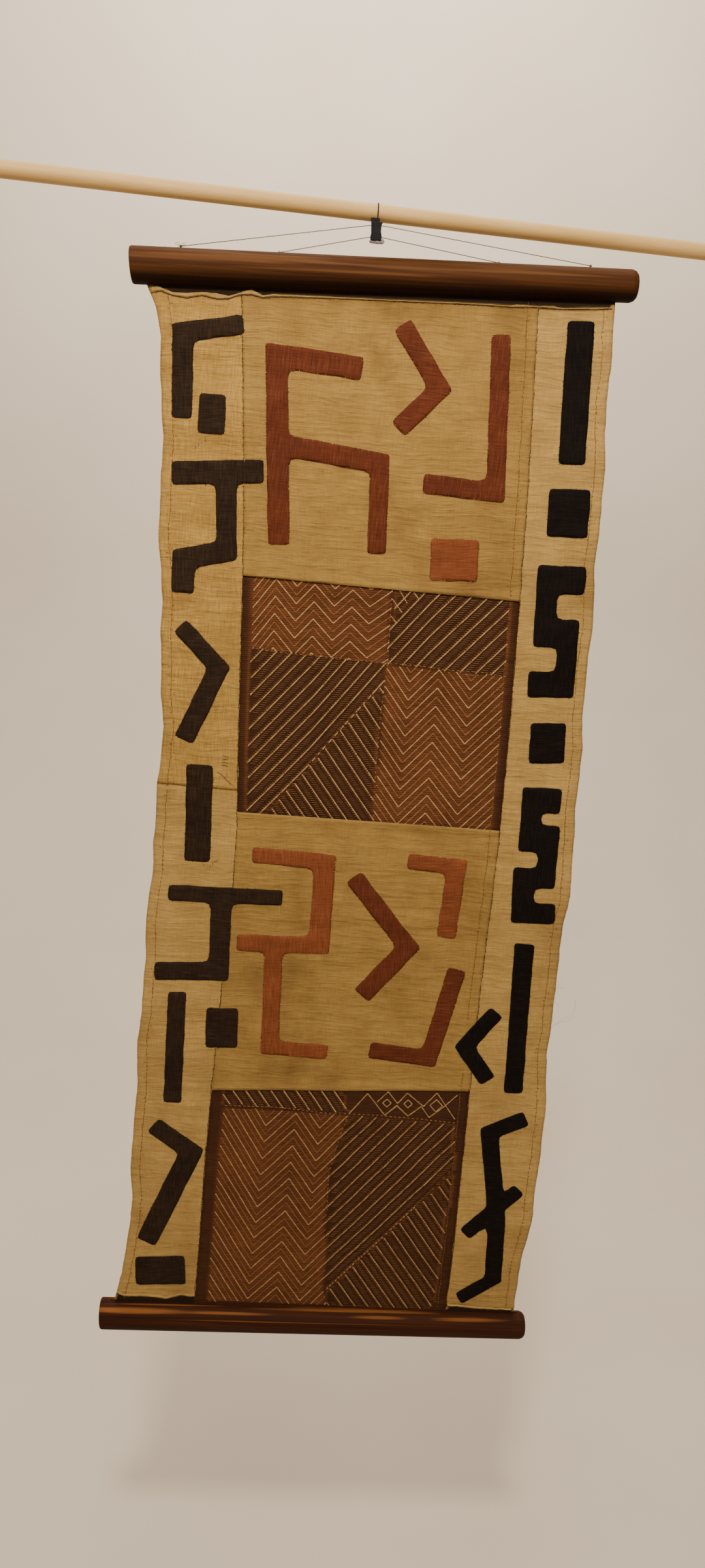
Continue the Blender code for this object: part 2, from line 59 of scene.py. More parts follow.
# Dowel: a bare 20 mm pine rod that runs along the wall, turned 8 degrees from the cloth.
# It is sanded and has no finish, with fine straight grain.
def linear(colour):
    """Turn six hex digits of sRGB into linear red, green, blue and alpha."""
    parts = [int(colour[at:at + 2], 16) / 255 for at in (0, 2, 4)]
    return [part / 12.92 if part < 0.04045 else ((part + 0.055) / 1.055) ** 2.4 for part in parts] + [1.0]


def add_node(tree, kind, inputs=None, **settings):
    """Add a node with its settings, and set or link its inputs."""
    new = tree.nodes.new(kind)
    for name, value in settings.items():
        setattr(new, name, value)
    for key, value in (inputs or {}).items():
        if isinstance(value, bpy.types.NodeSocket):
            tree.links.new(value, new.inputs[key])
        else:
            new.inputs[key].default_value = value
    return new


def start_material(name, roughness, sheen=0.0, gloss=0.5):
    """A new material with its shader's plain settings made."""
    made = bpy.data.materials.new(name)
    made.use_nodes = True
    shader = made.node_tree.nodes["Principled BSDF"]
    shader.inputs["Roughness"].default_value = roughness
    shader.inputs["Sheen Weight"].default_value = sheen
    shader.inputs["Specular IOR Level"].default_value = gloss
    return made, made.node_tree, shader


def streaks(tree, source, scale, detail=3.0, turn=0.0, low=0.35, high=0.65):
    """Noise drawn out along one direction, spread to the full range from 0 to 1."""
    place = add_node(tree, "ShaderNodeMapping", {0: source, 2: (0.0, 0.0, turn), 3: scale})
    mottle = add_node(tree, "ShaderNodeTexNoise", {"Vector": place.outputs[0], "Scale": 1.0, "Detail": detail})
    spread = add_node(tree, "ShaderNodeMapRange", {0: mottle.outputs[0], 1: low, 2: high})
    return spread.outputs[0]


def between(tree, factor, low, high):
    """A colour between two others, by a factor."""
    low, high = (linear(colour) if isinstance(colour, str) else colour for colour in (low, high))
    return add_node(tree, "ShaderNodeMix", {0: factor, 6: low, 7: high}, data_type="RGBA").outputs[2]


def bare_pine():
    """Bare pine: pale straw wood with fine darker lines along the rod."""
    made, tree, shader = start_material("bare_pine", 0.6)
    place = add_node(tree, "ShaderNodeTexCoord").outputs["Object"]
    grain = streaks(tree, place, (6.0, 420.0, 420.0), 4.0, math.radians(-8.0))
    broad = streaks(tree, place, (3.0, 60.0, 60.0), 2.0, math.radians(-8.0))
    wood = between(tree, broad, "C9A05C", "D4AC6A")
    faint = add_node(tree, "ShaderNodeMath", {0: grain, 1: 0.18}, operation="MULTIPLY").outputs[0]
    tree.links.new(between(tree, faint, wood, "B98F58"), shader.inputs["Base Color"])
    bump = add_node(tree, "ShaderNodeBump", {"Strength": 0.15, "Distance": 0.0004, "Height": grain})
    tree.links.new(bump.outputs[0], shader.inputs["Normal"])
    return made


def refinish(name, material):
    """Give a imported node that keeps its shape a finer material."""
    for slot in nodes[name].material_slots:
        slot.material = material


refinish("support_rod", bare_pine())


# Clip: a small black plastic clip with a blackened wire hook over the dowel.
# The plastic is matt with a moulded grain, and the wire is worn bare in places.
def moulded_plastic():
    """Matt black plastic: grey-black, a fine moulded grain, paler where it is rubbed."""
    made, tree, shader = start_material("moulded_plastic", 0.6, 0.0, 0.12)
    place = add_node(tree, "ShaderNodeTexCoord").outputs["Object"]
    rubbed = streaks(tree, place, (150.0, 150.0, 150.0), 4.0)
    tree.links.new(between(tree, rubbed, "060606", "141313"), shader.inputs["Base Color"])
    pores = streaks(tree, place, (1500.0, 1500.0, 1500.0), 2.0)
    bump = add_node(tree, "ShaderNodeBump", {"Strength": 0.12, "Distance": 0.0001, "Height": pores})
    tree.links.new(bump.outputs[0], shader.inputs["Normal"])
    return made


def blackened_wire():
    """Blackened steel wire: dark, half shiny, brown where the black has worn."""
    made, tree, shader = start_material("blackened_wire", 0.42)
    shader.inputs["Metallic"].default_value = 0.8
    place = add_node(tree, "ShaderNodeTexCoord").outputs["Object"]
    worn = streaks(tree, place, (300.0, 300.0, 300.0), 3.0, 0.0, 0.5, 0.75)
    tree.links.new(between(tree, worn, "2A2420", "6A5646"), shader.inputs["Base Color"])
    return made


refinish("clip_hook", blackened_wire())
black_plastic = moulded_plastic()
refinish("clip_plate", black_plastic)
refinish("clip_jaw", black_plastic)


# Clip pad: a scrap of grey felt folded over the threads, gripped in the clip and seen below its jaw.
def grey_felt():
    """Felt: matted grey fibres, pale where they stand up."""
    made, tree, shader = start_material("grey_felt", 0.95, 0.1, 0.1)
    place = add_node(tree, "ShaderNodeTexCoord").outputs["Object"]
    fibres = streaks(tree, place, (700.0, 700.0, 1100.0), 3.0)
    tree.links.new(between(tree, fibres, "5C5853", "A39D95"), shader.inputs["Base Color"])
    bump = add_node(tree, "ShaderNodeBump", {"Strength": 0.5, "Distance": 0.0004, "Height": fibres})
    tree.links.new(bump.outputs[0], shader.inputs["Normal"])
    return made


PAD = {"centre": Vector((-0.0004, -0.0134, -0.0352)), "half": Vector((0.0084, 0.0020, 0.0024)), "rough": 0.0006}
bm = bmesh.new()
bmesh.ops.create_cube(bm, size=2.0)
bmesh.ops.subdivide_edges(bm, edges=bm.edges[:], cuts=7, use_grid_fill=True)
for vert in bm.verts:
    round_end = vert.co.normalized() * 1.25
    shape = vert.co.lerp(round_end, 0.45) * PAD["half"]
    vert.co = PAD["centre"] + shape + noise.noise_vector(shape * 420) * PAD["rough"]
for face in bm.faces:
    face.smooth = True
mesh = bpy.data.meshes.new("clip_pad")
bm.to_mesh(mesh)
bm.free()
mesh.materials.append(grey_felt())
pad = bpy.data.objects.new("clip_pad", mesh)
bpy.context.scene.collection.objects.link(pad)
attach(pad, "root")


# Threads: two lengths of grey-brown twine from the clip, tied round the top batten's ends.
# The twine is twisted, so fine slanting lines run round it.
def twisted_twine():
    """Twine: grey-brown, with the slanting light and dark of its twist."""
    made, tree, shader = start_material("twisted_twine", 0.85, 0.2)
    place = add_node(tree, "ShaderNodeTexCoord").outputs["Object"]
    twist = streaks(tree, place, (900.0, 900.0, 2400.0), 1.0, math.radians(35.0))
    tree.links.new(between(tree, twist, "4A4036", "8C7D68"), shader.inputs["Base Color"])
    bump = add_node(tree, "ShaderNodeBump", {"Strength": 0.6, "Distance": 0.0003, "Height": twist})
    tree.links.new(bump.outputs[0], shader.inputs["Normal"])
    return made


twine = twisted_twine()
refinish("upper_thread", twine)
refinish("lower_thread", twine)


# Battens: two turned hardwood rods, stained red-brown and oiled, that grip the cloth in a saw cut.
# The lower third is painted almost black, for the shade under a light from above together with the stain, and pale
# sapwood shows in long streaks on the foot one.
def stained_wood(name, light, deep, pale, axis, streak_rows):
    """Stained hardwood: long soft red-brown grain, painted near black below for shade and stain, with streaks of paler
    sapwood.
    """
    made, tree, shader = start_material(name, 0.68, 0.0, 0.08)
    place = add_node(tree, "ShaderNodeTexCoord").outputs["Object"]
    fine = streaks(tree, place, (7.0, 330.0, 330.0), 4.0)
    broad = streaks(tree, place, (2.2, 70.0, 95.0), 3.0, 0.0, 0.3, 0.7)
    long_grain = streaks(tree, place, (4.0, 160.0, 160.0), 3.0, 0.0, 0.3, 0.7)
    wood = between(tree, broad, deep, light)
    faint = add_node(tree, "ShaderNodeMath", {0: fine, 1: 0.4}, operation="MULTIPLY").outputs[0]
    wood = between(tree, faint, wood, "1E0E07")
    parts = add_node(tree, "ShaderNodeSeparateXYZ", {0: place})
    lean = add_node(tree, "ShaderNodeMath", {0: parts.outputs[0], 1: -math.tan(axis["tilt"])}, operation="MULTIPLY")
    level = add_node(tree, "ShaderNodeMath", {0: parts.outputs[2], 1: lean.outputs[0]}, operation="ADD").outputs[0]
    middle = axis["z"] - axis["x"] * math.tan(axis["tilt"])
    for row in streak_rows:
        along = add_node(tree, "ShaderNodeMath", {0: parts.outputs[0], 1: -row["x"]}, operation="ADD")
        along = add_node(tree, "ShaderNodeMath", {0: along.outputs[0], 1: 1 / row["half_x"]}, operation="MULTIPLY")
        up = add_node(tree, "ShaderNodeMath", {0: level, 1: -middle - row["up"]}, operation="ADD")
        up = add_node(tree, "ShaderNodeMath", {0: up.outputs[0], 1: 1 / row["half_z"]}, operation="MULTIPLY")
        away = add_node(tree, "ShaderNodeCombineXYZ", {0: along.outputs[0], 2: up.outputs[0]})
        away = add_node(tree, "ShaderNodeVectorMath", {0: away.outputs[0]}, operation="LENGTH")
        ragged = add_node(tree, "ShaderNodeMath", {0: long_grain, 1: row["ragged"]}, operation="MULTIPLY").outputs[0]
        ragged = add_node(tree, "ShaderNodeMath", {0: away.outputs["Value"], 1: ragged}, operation="ADD").outputs[0]
        near = add_node(tree, "ShaderNodeMapRange", {0: ragged, 1: 1.15, 2: 0.70, 4: row["share"]}).outputs[0]
        wood = between(tree, near, wood, pale)
    # Painted shade: below the axis the wood darkens to near black, for the shadow under a light from above, with the
    # stain.
    painted_underside = add_node(tree, "ShaderNodeMapRange", {0: level, 1: middle - underside_shade_band["from"], 2: middle - underside_shade_band["to"]})
    stain = add_node(tree, "ShaderNodeMath", {0: painted_underside.outputs[0], 1: 0.8}, operation="MULTIPLY").outputs[0]
    tree.links.new(between(tree, stain, wood, "120705"), shader.inputs["Base Color"])
    bump = add_node(tree, "ShaderNodeBump", {"Strength": 0.2, "Distance": 0.0004, "Height": fine})
    tree.links.new(bump.outputs[0], shader.inputs["Normal"])
    return made


TOP_AXIS = {"x": 0.014, "z": -0.070, "tilt": math.radians(1.63), "side": 1}
FOOT_AXIS = {"x": 0.0055, "z": -1.5065, "tilt": math.radians(0.5), "side": -1}
# How far below the axis the painted shade of the underside starts and ends
underside_shade_band = {"from": 0.006, "to": 0.015}
TOP_STREAKS = (
    {"x": -0.190, "up": 0.010, "half_x": 0.260, "half_z": 0.008, "ragged": 0.9, "share": 0.4},
    {"x": 0.120, "up": 0.006, "half_x": 0.260, "half_z": 0.005, "ragged": 0.9, "share": 0.4},
    {"x": -0.060, "up": -0.002, "half_x": 0.220, "half_z": 0.003, "ragged": 0.9, "share": 0.5},
)
FOOT_STREAKS = (
    {"x": -0.255, "up": 0.0158, "half_x": 0.110, "half_z": 0.0040, "ragged": 0.45, "share": 0.9},
    {"x": -0.130, "up": 0.0155, "half_x": 0.100, "half_z": 0.0022, "ragged": 0.5, "share": 0.8},
    {"x": -0.240, "up": 0.0205, "half_x": 0.120, "half_z": 0.0007, "ragged": 0.8, "share": 0.6},
    {"x": 0.060, "up": 0.0190, "half_x": 0.170, "half_z": 0.0016, "ragged": 0.7, "share": 0.7},
    {"x": 0.100, "up": 0.0150, "half_x": 0.060, "half_z": 0.0026, "ragged": 0.6, "share": 0.7},
    {"x": 0.225, "up": 0.0150, "half_x": 0.080, "half_z": 0.0030, "ragged": 0.6, "share": 0.7},
    {"x": 0.010, "up": 0.0070, "half_x": 0.330, "half_z": 0.0011, "ragged": 0.8, "share": 0.55},
    {"x": -0.170, "up": 0.0030, "half_x": 0.120, "half_z": 0.0009, "ragged": 0.9, "share": 0.45},
)
refinish("top_batten", stained_wood("stained_wood_top", "583516", "42240F", "764E2A", TOP_AXIS, TOP_STREAKS))
refinish("bottom_batten", stained_wood("stained_wood_foot", "4A2815", "30170C", "8E5628", FOOT_AXIS, FOOT_STREAKS))


# Cloth panels: seven pieces of hand-woven raffia, sewn edge to edge, hang between the battens.
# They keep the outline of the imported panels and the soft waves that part.py gives them, and add
# the turned hems, the ridges of the seams, the laps over the squares and the fine creases.
FOLDS = (
    {"x": -0.265, "z": -0.240, "half_x": 0.055, "half_z": 0.110, "rise": -0.007},
    {"x": -0.245, "z": -0.560, "half_x": 0.060, "half_z": 0.090, "rise": 0.006},
    {"x": -0.250, "z": -0.800, "half_x": 0.070, "half_z": 0.070, "rise": -0.006},
    {"x": -0.265, "z": -1.040, "half_x": 0.060, "half_z": 0.110, "rise": 0.006},
    {"x": -0.275, "z": -1.330, "half_x": 0.060, "half_z": 0.090, "rise": -0.006},
    {"x": 0.305, "z": -0.300, "half_x": 0.060, "half_z": 0.110, "rise": 0.005},
    {"x": 0.312, "z": -0.600, "half_x": 0.055, "half_z": 0.090, "rise": -0.007},
    {"x": 0.315, "z": -0.830, "half_x": 0.060, "half_z": 0.080, "rise": 0.008},
    {"x": 0.312, "z": -1.090, "half_x": 0.060, "half_z": 0.100, "rise": -0.006},
    {"x": 0.305, "z": -1.330, "half_x": 0.060, "half_z": 0.090, "rise": 0.006},
    {"x": 0.020, "z": -0.330, "half_x": 0.190, "half_z": 0.130, "rise": 0.004},
    {"x": 0.060, "z": -0.980, "half_x": 0.170, "half_z": 0.120, "rise": -0.004},
    {"x": 0.000, "z": -1.300, "half_x": 0.180, "half_z": 0.120, "rise": 0.0035},
)
BATTEN_RADIUS = 0.02175
FRONT = 0.00075
HEM_WIDTH = 0.014
RIB_PITCH = 0.0027
CLOTH_THICKNESS = 0.0010


def smooth(value):
    """Ease a value from 0 to 1."""
    value = min(max(value, 0.0), 1.0)
    return value * value * (3 - 2 * value)


def batten_room(x, z):
    """How far a point of the cloth is from the nearer batten's surface."""
    rooms = []
    for row in (TOP_AXIS, FOOT_AXIS):
        axis = row["z"] + (x - row["x"]) * math.tan(row["tilt"])
        rooms.append(row["side"] * (axis - z) - BATTEN_RADIUS)
    return min(rooms)


def hanging_y(x, z):
    """The middle of the hanging cloth: its soft waves, and creases too small for the solids."""
    room = batten_room(x, z)
    total = 0.0
    for fold in FOLDS:
        away = ((x - fold["x"]) / fold["half_x"]) ** 2 + ((z - fold["z"]) / fold["half_z"]) ** 2
        total += fold["rise"] * math.exp(-away)
    creases = 0.0019 * noise.noise(Vector((x * 7, z * 19, 3.1)))
    creases += 0.0013 * noise.noise(Vector((x * 16, z * 60, 7.7)))
    return -total * smooth((room - 0.044) / 0.086) - creases * smooth(room / 0.030)


def front_face(name):
    """The front of a packed sheet as its own mesh, its loose triangles joined."""
    bm = bmesh.new()
    bm.from_mesh(nodes[name].data)
    bmesh.ops.remove_doubles(bm, verts=bm.verts, dist=1e-6)
    bm.normal_update()
    bmesh.ops.delete(bm, geom=[face for face in bm.faces if face.normal.y > -0.5], context="FACES")
    return bm


def rim_walk(bm):
    """The outline of a flat mesh in x and z, walked upwards from its lowest left corner."""
    rim = {}
    for edge in bm.edges:
        if edge.is_boundary:
            for vert in edge.verts:
                rim.setdefault(vert, []).append(edge.other_vert(vert))
    start = min(rim, key=lambda vert: vert.co.x + vert.co.z)
    walk = [start]
    here, last = max(rim[start], key=lambda vert: vert.co.z), start
    while here is not start:
        walk.append(here)
        here, last = next(vert for vert in rim[here] if vert is not last), here
    return [Vector((vert.co.x, vert.co.z)) for vert in walk]


def edge_runs(name):
    """A packed panel's four edges, as points from foot to top and from left to right."""
    bm = front_face(name)
    points = rim_walk(bm)
    bm.free()
    top_left = points.index(max(points, key=lambda p: p.y - p.x))
    top_right = points.index(max(points, key=lambda p: p.y + p.x))
    foot_right = points.index(max(points, key=lambda p: p.x - p.y))
    return {
        "left": points[:top_left + 1],
        "top": points[top_left:top_right + 1],
        "right": points[top_right:foot_right + 1][::-1],
        "foot": (points[foot_right:] + points[:1])[::-1],
    }


def along(run, part):
    """The point at a part of a run's length."""
    lengths = [(b - a).length for a, b in zip(run, run[1:])]
    left = part * sum(lengths)
    for a, b, length in zip(run, run[1:], lengths):
        if left <= length:
            return a.lerp(b, left / length)
        left -= length
    return run[-1].copy()


def edge_relief(kind, away):
    """How far a hem, seam or lap lifts the cloth at a distance from its edge."""
    if kind == "hem":
        return 0.0008 * smooth((HEM_WIDTH - away) / 0.0012) - 0.0006 * smooth((0.0015 - away) / 0.0015)
    if kind == "seam":
        return 0.0006 * smooth((0.009 - away) / 0.004)
    if kind == "tuck":
        return -0.0006 * smooth((0.007 - away) / 0.003)
    if kind == "over":
        return 0.0014 * smooth((0.010 - away) / 0.008)
    if kind == "under":
        return -0.0007 * smooth((0.006 - away) / 0.003)
    return 0.0


PANELS = (
    {"name": "left_strip_upper", "left": "hem", "right": "tuck", "top": "batten", "foot": "seam",
     "held_by": ("top_batten",)},
    {"name": "left_strip_lower", "left": "hem", "right": "tuck", "top": "tuck", "foot": "batten",
     "held_by": ("bottom_batten",)},
    {"name": "right_strip", "left": "tuck", "right": "hem", "top": "batten", "foot": "batten",
     "held_by": ("top_batten", "bottom_batten")},
    {"name": "plain_panel_upper", "left": "seam", "right": "seam", "top": "batten", "foot": "over",
     "held_by": ("top_batten",)},
    {"name": "ribbed_square_upper", "left": "seam", "right": "seam", "top": "under", "foot": "under",
     "held_by": ("plain_panel_upper_cloth",)},
    {"name": "plain_panel_lower", "left": "seam", "right": "seam", "top": "over", "foot": "over",
     "held_by": ("ribbed_square_upper_cloth",)},
    {"name": "ribbed_square_lower", "left": "seam", "right": "seam", "top": "under", "foot": "batten",
     "held_by": ("bottom_batten",)},
)
LAPS = {"tuck": 0.0032, "over": 0.0025}
FLARES = (
    {"panel": "left_strip_upper", "side": "left", "z": -0.098, "half_z": 0.024, "reach": -0.008},
    {"panel": "left_strip_upper", "side": "left", "z": -0.160, "half_z": 0.060, "reach": -0.003},
)
OUTWARD = {"left": Vector((-1, 0)), "right": Vector((1, 0)), "top": Vector((0, 1)), "foot": Vector((0, -1))}
CELL = 0.004


def panel_points(row):
    """The grid of points of a panel's face, row by row from the foot, and its measure."""
    runs = edge_runs(row["name"])
    for side, way in OUTWARD.items():
        lap = LAPS.get(row[side], 0.0)
        ends = [runs[side][0].copy(), runs[side][-1].copy()]
        for other in runs:
            if other != side:
                runs[other] = [point + way * lap if any((point - end).length < 1e-6 for end in ends) else point
                               for point in runs[other]]
        runs[side] = [point + way * lap for point in runs[side]]
    wide = (runs["foot"][0] - runs["foot"][-1]).length
    tall = (runs["left"][0] - runs["left"][-1]).length
    ribbed = row["name"].startswith("ribbed")
    columns = round(wide / (0.007 if ribbed else CELL))
    rows = round(tall / RIB_PITCH) * 4 if ribbed else round(tall / CELL)
    corners = [runs["left"][0], runs["right"][0], runs["left"][-1], runs["right"][-1]]
    grid = []
    feet = [along(runs["foot"], i / columns) for i in range(columns + 1)]
    tops = [along(runs["top"], i / columns) for i in range(columns + 1)]
    for j in range(rows + 1):
        v = j / rows
        left, right = along(runs["left"], v), along(runs["right"], v)
        line = []
        for i in range(columns + 1):
            u = i / columns
            flat = feet[i] * (1 - v) + tops[i] * v + left * (1 - u) + right * u
            flat -= (corners[0] * (1 - u) + corners[1] * u) * (1 - v) + (corners[2] * (1 - u) + corners[3] * u) * v
            away = {"left": (flat - left).length, "right": (flat - right).length,
                    "top": (flat - tops[i]).length, "foot": (flat - feet[i]).length}
            lift = sum(edge_relief(row[side], away[side]) for side in away) * smooth(batten_room(*flat) / 0.004)
            if ribbed:
                lift += 0.0005 * (math.sin(math.tau * (j / 4 + 0.125)) - 0.5) * (0.7 + noise.noise(Vector((flat.x * 90, j // 4, 0))))
            for flare in FLARES:
                if flare["panel"] == row["name"]:
                    near = math.exp(-((flat.y - flare["z"]) / flare["half_z"]) ** 2)
                    flat.x += flare["reach"] * near * smooth(1 - away[flare["side"]] / 0.04)
            for side, way in (("left", -1), ("right", 1)):
                reach = {"hem": 0.0010, "seam": 0.0012}.get(row[side], 0.0)
                wave = noise.noise(Vector((way, 0, flat.y * 38))) + 0.4 * noise.noise(Vector((way, 5, flat.y * 130)))
                flat.x += way * reach * wave * smooth(1 - away[side] / 0.03)
            line.append(Vector((flat.x, hanging_y(*flat) - FRONT - lift, flat.y)))
        grid.append(line)
    return grid, wide, tall


def lay_panel(row, material):
    """One panel of cloth: a grid laid on its outline, with the cloth's thickness behind it."""
    grid, wide, tall = panel_points(row)
    columns, rows = len(grid[0]) - 1, len(grid) - 1
    bm = bmesh.new()
    bmesh.ops.create_grid(bm, x_segments=columns, y_segments=rows, size=0.5)
    bm.verts.ensure_lookup_table()
    for vert in bm.verts:
        i, j = round((vert.co.x + 0.5) * columns), round((vert.co.y + 0.5) * rows)
        vert.co = grid[j][i]
    layer = bm.loops.layers.uv.new("cloth")
    for face in bm.faces:
        face.smooth = True
        for loop in face.loops:
            loop[layer].uv = (loop.vert.co.x, loop.vert.co.z)
    bm.normal_update()
    if sum(face.normal.y for face in bm.faces) > 0:
        bmesh.ops.reverse_faces(bm, faces=bm.faces)
    area = sum(face.calc_area() for face in bm.faces)
    mesh = bpy.data.meshes.new(row["name"] + "_cloth")
    bm.to_mesh(mesh)
    faces.append(bm)
    piece = bpy.data.objects.new(row["name"] + "_cloth", mesh)
    bpy.context.scene.collection.objects.link(piece)
    mesh.materials.append(material)
    back = piece.modifiers.new("thickness", "SOLIDIFY")
    back.thickness = CLOTH_THICKNESS
    back.offset = -1.0
    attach(piece, "root")
    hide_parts(row["name"])
    return piece


def raffia(name, pale, mid, deep, warp=0.5, stain=0.4):
    """Undyed raffia: straw-coloured flat strips, darker between them, with brown stains of age."""
    made, tree, shader = start_material(name, 0.85, 0.05, 0.15)
    flat = add_node(tree, "ShaderNodeUVMap", uv_map="cloth").outputs[0]
    bend = add_node(tree, "ShaderNodeTexNoise", {"Vector": flat, "Scale": 14.0, "Detail": 1.0}).outputs["Color"]
    bend = add_node(tree, "ShaderNodeVectorMath", {0: bend, 1: (0.012, 0.012, 0.0)}, operation="MULTIPLY").outputs[0]
    place = add_node(tree, "ShaderNodeVectorMath", {0: flat, 1: bend}, operation="ADD").outputs[0]
    weft = streaks(tree, place, (70.0, 640.0, 1.0), 4.0, 0.0, 0.22, 0.78)
    ends = streaks(tree, place, (600.0, 45.0, 1.0), 3.0, 0.0, 0.32, 0.78)
    slubs = streaks(tree, place, (60.0, 330.0, 1.0), 3.0, 0.0, 0.54, 0.72)
    cracks = streaks(tree, place, (55.0, 420.0, 1.0), 2.0, 0.0, 0.62, 0.76)
    cloud = streaks(tree, place, (30.0, 24.0, 1.0), 5.0, 0.0, 0.35, 0.75)
    blotch = streaks(tree, place, (7.0, 6.0, 1.0), 5.0, 0.0, 0.50, 0.74)
    cloth = between(tree, weft, mid, pale)
    for mask, share, colour in ((ends, warp, deep), (slubs, 0.30, pale), (cracks, 0.40, deep), (cloud, 0.30, deep),
                                (blotch, stain, deep)):
        part = add_node(tree, "ShaderNodeMath", {0: mask, 1: share}, operation="MULTIPLY").outputs[0]
        cloth = between(tree, part, cloth, colour)
    # Painted shade: near black next to the battens and under the lips, for their shadow, with some dirt
    batten_shade_and_dirt = add_node(tree, "ShaderNodeAttribute", attribute_name="batten_shade_and_dirt").outputs["Fac"]
    tree.links.new(between(tree, batten_shade_and_dirt, cloth, "1C0F07"), shader.inputs["Base Color"])
    weave = add_node(tree, "ShaderNodeMath", {0: weft, 1: ends}, operation="ADD").outputs[0]
    wrinkles = streaks(tree, place, (18.0, 150.0, 1.0), 3.0, 0.0, 0.42, 0.70)
    folds = add_node(tree, "ShaderNodeBump", {"Strength": 0.5, "Distance": 0.0016, "Height": wrinkles})
    bump = add_node(tree, "ShaderNodeBump", {"Strength": 0.5, "Distance": 0.0006, "Height": weave,
                                             "Normal": folds.outputs[0]})
    tree.links.new(bump.outputs[0], shader.inputs["Normal"])
    return made


faces = []
strip_raffia = raffia("strip_raffia", "C09E5C", "AC8645", "6C4B26", 0.26)
upper_strip_raffia = raffia("upper_strip_raffia", "C6A25A", "AC8038", "66431A", 0.50)
centre_raffia = raffia("centre_raffia", "AD8C4A", "98723A", "62431F", 0.24, 0.55)


def ribbed_ground():
    """Ribbed raffia of the squares: red-brown ribs, paler on their crowns, near black where bands are worked."""
    made, tree, shader = start_material("ribbed_ground", 0.85, 0.0, 0.12)
    ground = add_node(tree, "ShaderNodeAttribute", attribute_name="ground").outputs["Fac"]
    low = add_node(tree, "ShaderNodeMapRange", {0: ground, 1: 0.0, 2: 0.5}).outputs[0]
    high = add_node(tree, "ShaderNodeMapRange", {0: ground, 1: 0.5, 2: 1.0}).outputs[0]
    cloth = between(tree, high, between(tree, low, "4C2D1A", "734426"), "442917")
    place = add_node(tree, "ShaderNodeUVMap", uv_map="cloth").outputs[0]
    fibre = streaks(tree, place, (60.0, 620.0, 1.0), 3.0, 0.0, 0.30, 0.70)
    blotch = streaks(tree, place, (12.0, 9.0, 1.0), 4.0, 0.0, 0.40, 0.70)
    half = add_node(tree, "ShaderNodeMath", {0: fibre, 1: 0.6}, operation="MULTIPLY").outputs[0]
    cloth = between(tree, half, cloth, "2A170C")
    shade = add_node(tree, "ShaderNodeMath", {0: blotch, 1: 0.35}, operation="MULTIPLY").outputs[0]
    tree.links.new(between(tree, shade, cloth, "30190E"), shader.inputs["Base Color"])
    bump = add_node(tree, "ShaderNodeBump", {"Strength": 0.5, "Distance": 0.0005, "Height": fibre})
    tree.links.new(bump.outputs[0], shader.inputs["Normal"])
    return made


ribbed_raffia = ribbed_ground()
panel_finish = {
    "left_strip_upper": upper_strip_raffia,
    "left_strip_lower": strip_raffia,
    "right_strip": strip_raffia,
    "plain_panel_upper": centre_raffia,
    "plain_panel_lower": centre_raffia,
    "ribbed_square_upper": ribbed_raffia,
    "ribbed_square_lower": ribbed_raffia,
}
for panel in PANELS:
    lay_panel(panel, panel_finish[panel["name"]])
surfaces = [BVHTree.FromBMesh(bm) for bm in faces]


def cloth_front(x, z):
    """The cloth's face at a point, as seen from the front, or None beside it."""
    hits = [tree.ray_cast(Vector((x, -1, z)), Vector((0, 1, 0)))[0] for tree in surfaces]
    fronts = [hit.y for hit in hits if hit is not None]
    return min(fronts) if fronts else None


# Appliques: 26 patches of dyed raffia, cut out, turned under at the edge and sewn on the panels.
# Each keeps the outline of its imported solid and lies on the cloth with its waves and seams.
APPLIQUE_THICKNESS = 0.0008
APPLIQUE_CELL = 0.004


def dyed_raffia(name, pale, mid, deep, fleck, flecks):
    """Dyed raffia: dark strips with worn, paler ones among them, and a slight shine."""
    made, tree, shader = start_material(name, 0.85, 0.0, 0.12)
    place = add_node(tree, "ShaderNodeUVMap", uv_map="cloth").outputs[0]
    weft = streaks(tree, place, (40.0, 600.0, 1.0), 3.0, 0.0, 0.30, 0.70)
    ends = streaks(tree, place, (560.0, 40.0, 1.0), 3.0, 0.0, 0.35, 0.70)
    rubbed = streaks(tree, place, (45.0, 700.0, 1.0), 4.0, 0.0, 0.52, 0.80)
    blotch = streaks(tree, place, (16.0, 12.0, 1.0), 4.0, 0.0, 0.35, 0.65)
    cloth = between(tree, weft, deep, mid)
    half = add_node(tree, "ShaderNodeMath", {0: ends, 1: 0.3}, operation="MULTIPLY").outputs[0]
    cloth = between(tree, half, cloth, pale)
    shade = add_node(tree, "ShaderNodeMath", {0: blotch, 1: 0.4}, operation="MULTIPLY").outputs[0]
    cloth = between(tree, shade, cloth, deep)
    worn = add_node(tree, "ShaderNodeMath", {0: rubbed, 1: flecks}, operation="MULTIPLY").outputs[0]
    cloth = between(tree, worn, cloth, fleck)
    tree.links.new(cloth, shader.inputs["Base Color"])
    weave = add_node(tree, "ShaderNodeMath", {0: weft, 1: ends}, operation="ADD").outputs[0]
    bump = add_node(tree, "ShaderNodeBump", {"Strength": 0.5, "Distance": 0.0006, "Height": weave})
    tree.links.new(bump.outputs[0], shader.inputs["Normal"])
    return made


def panel_under(x, z):
    """The name of the cloth panel that lies behind a point."""
    for row, tree in zip(PANELS, surfaces):
        if tree.ray_cast(Vector((x, -1, z)), Vector((0, 1, 0)))[0] is not None:
            return row["name"] + "_cloth"
    return PANELS[0]["name"] + "_cloth"


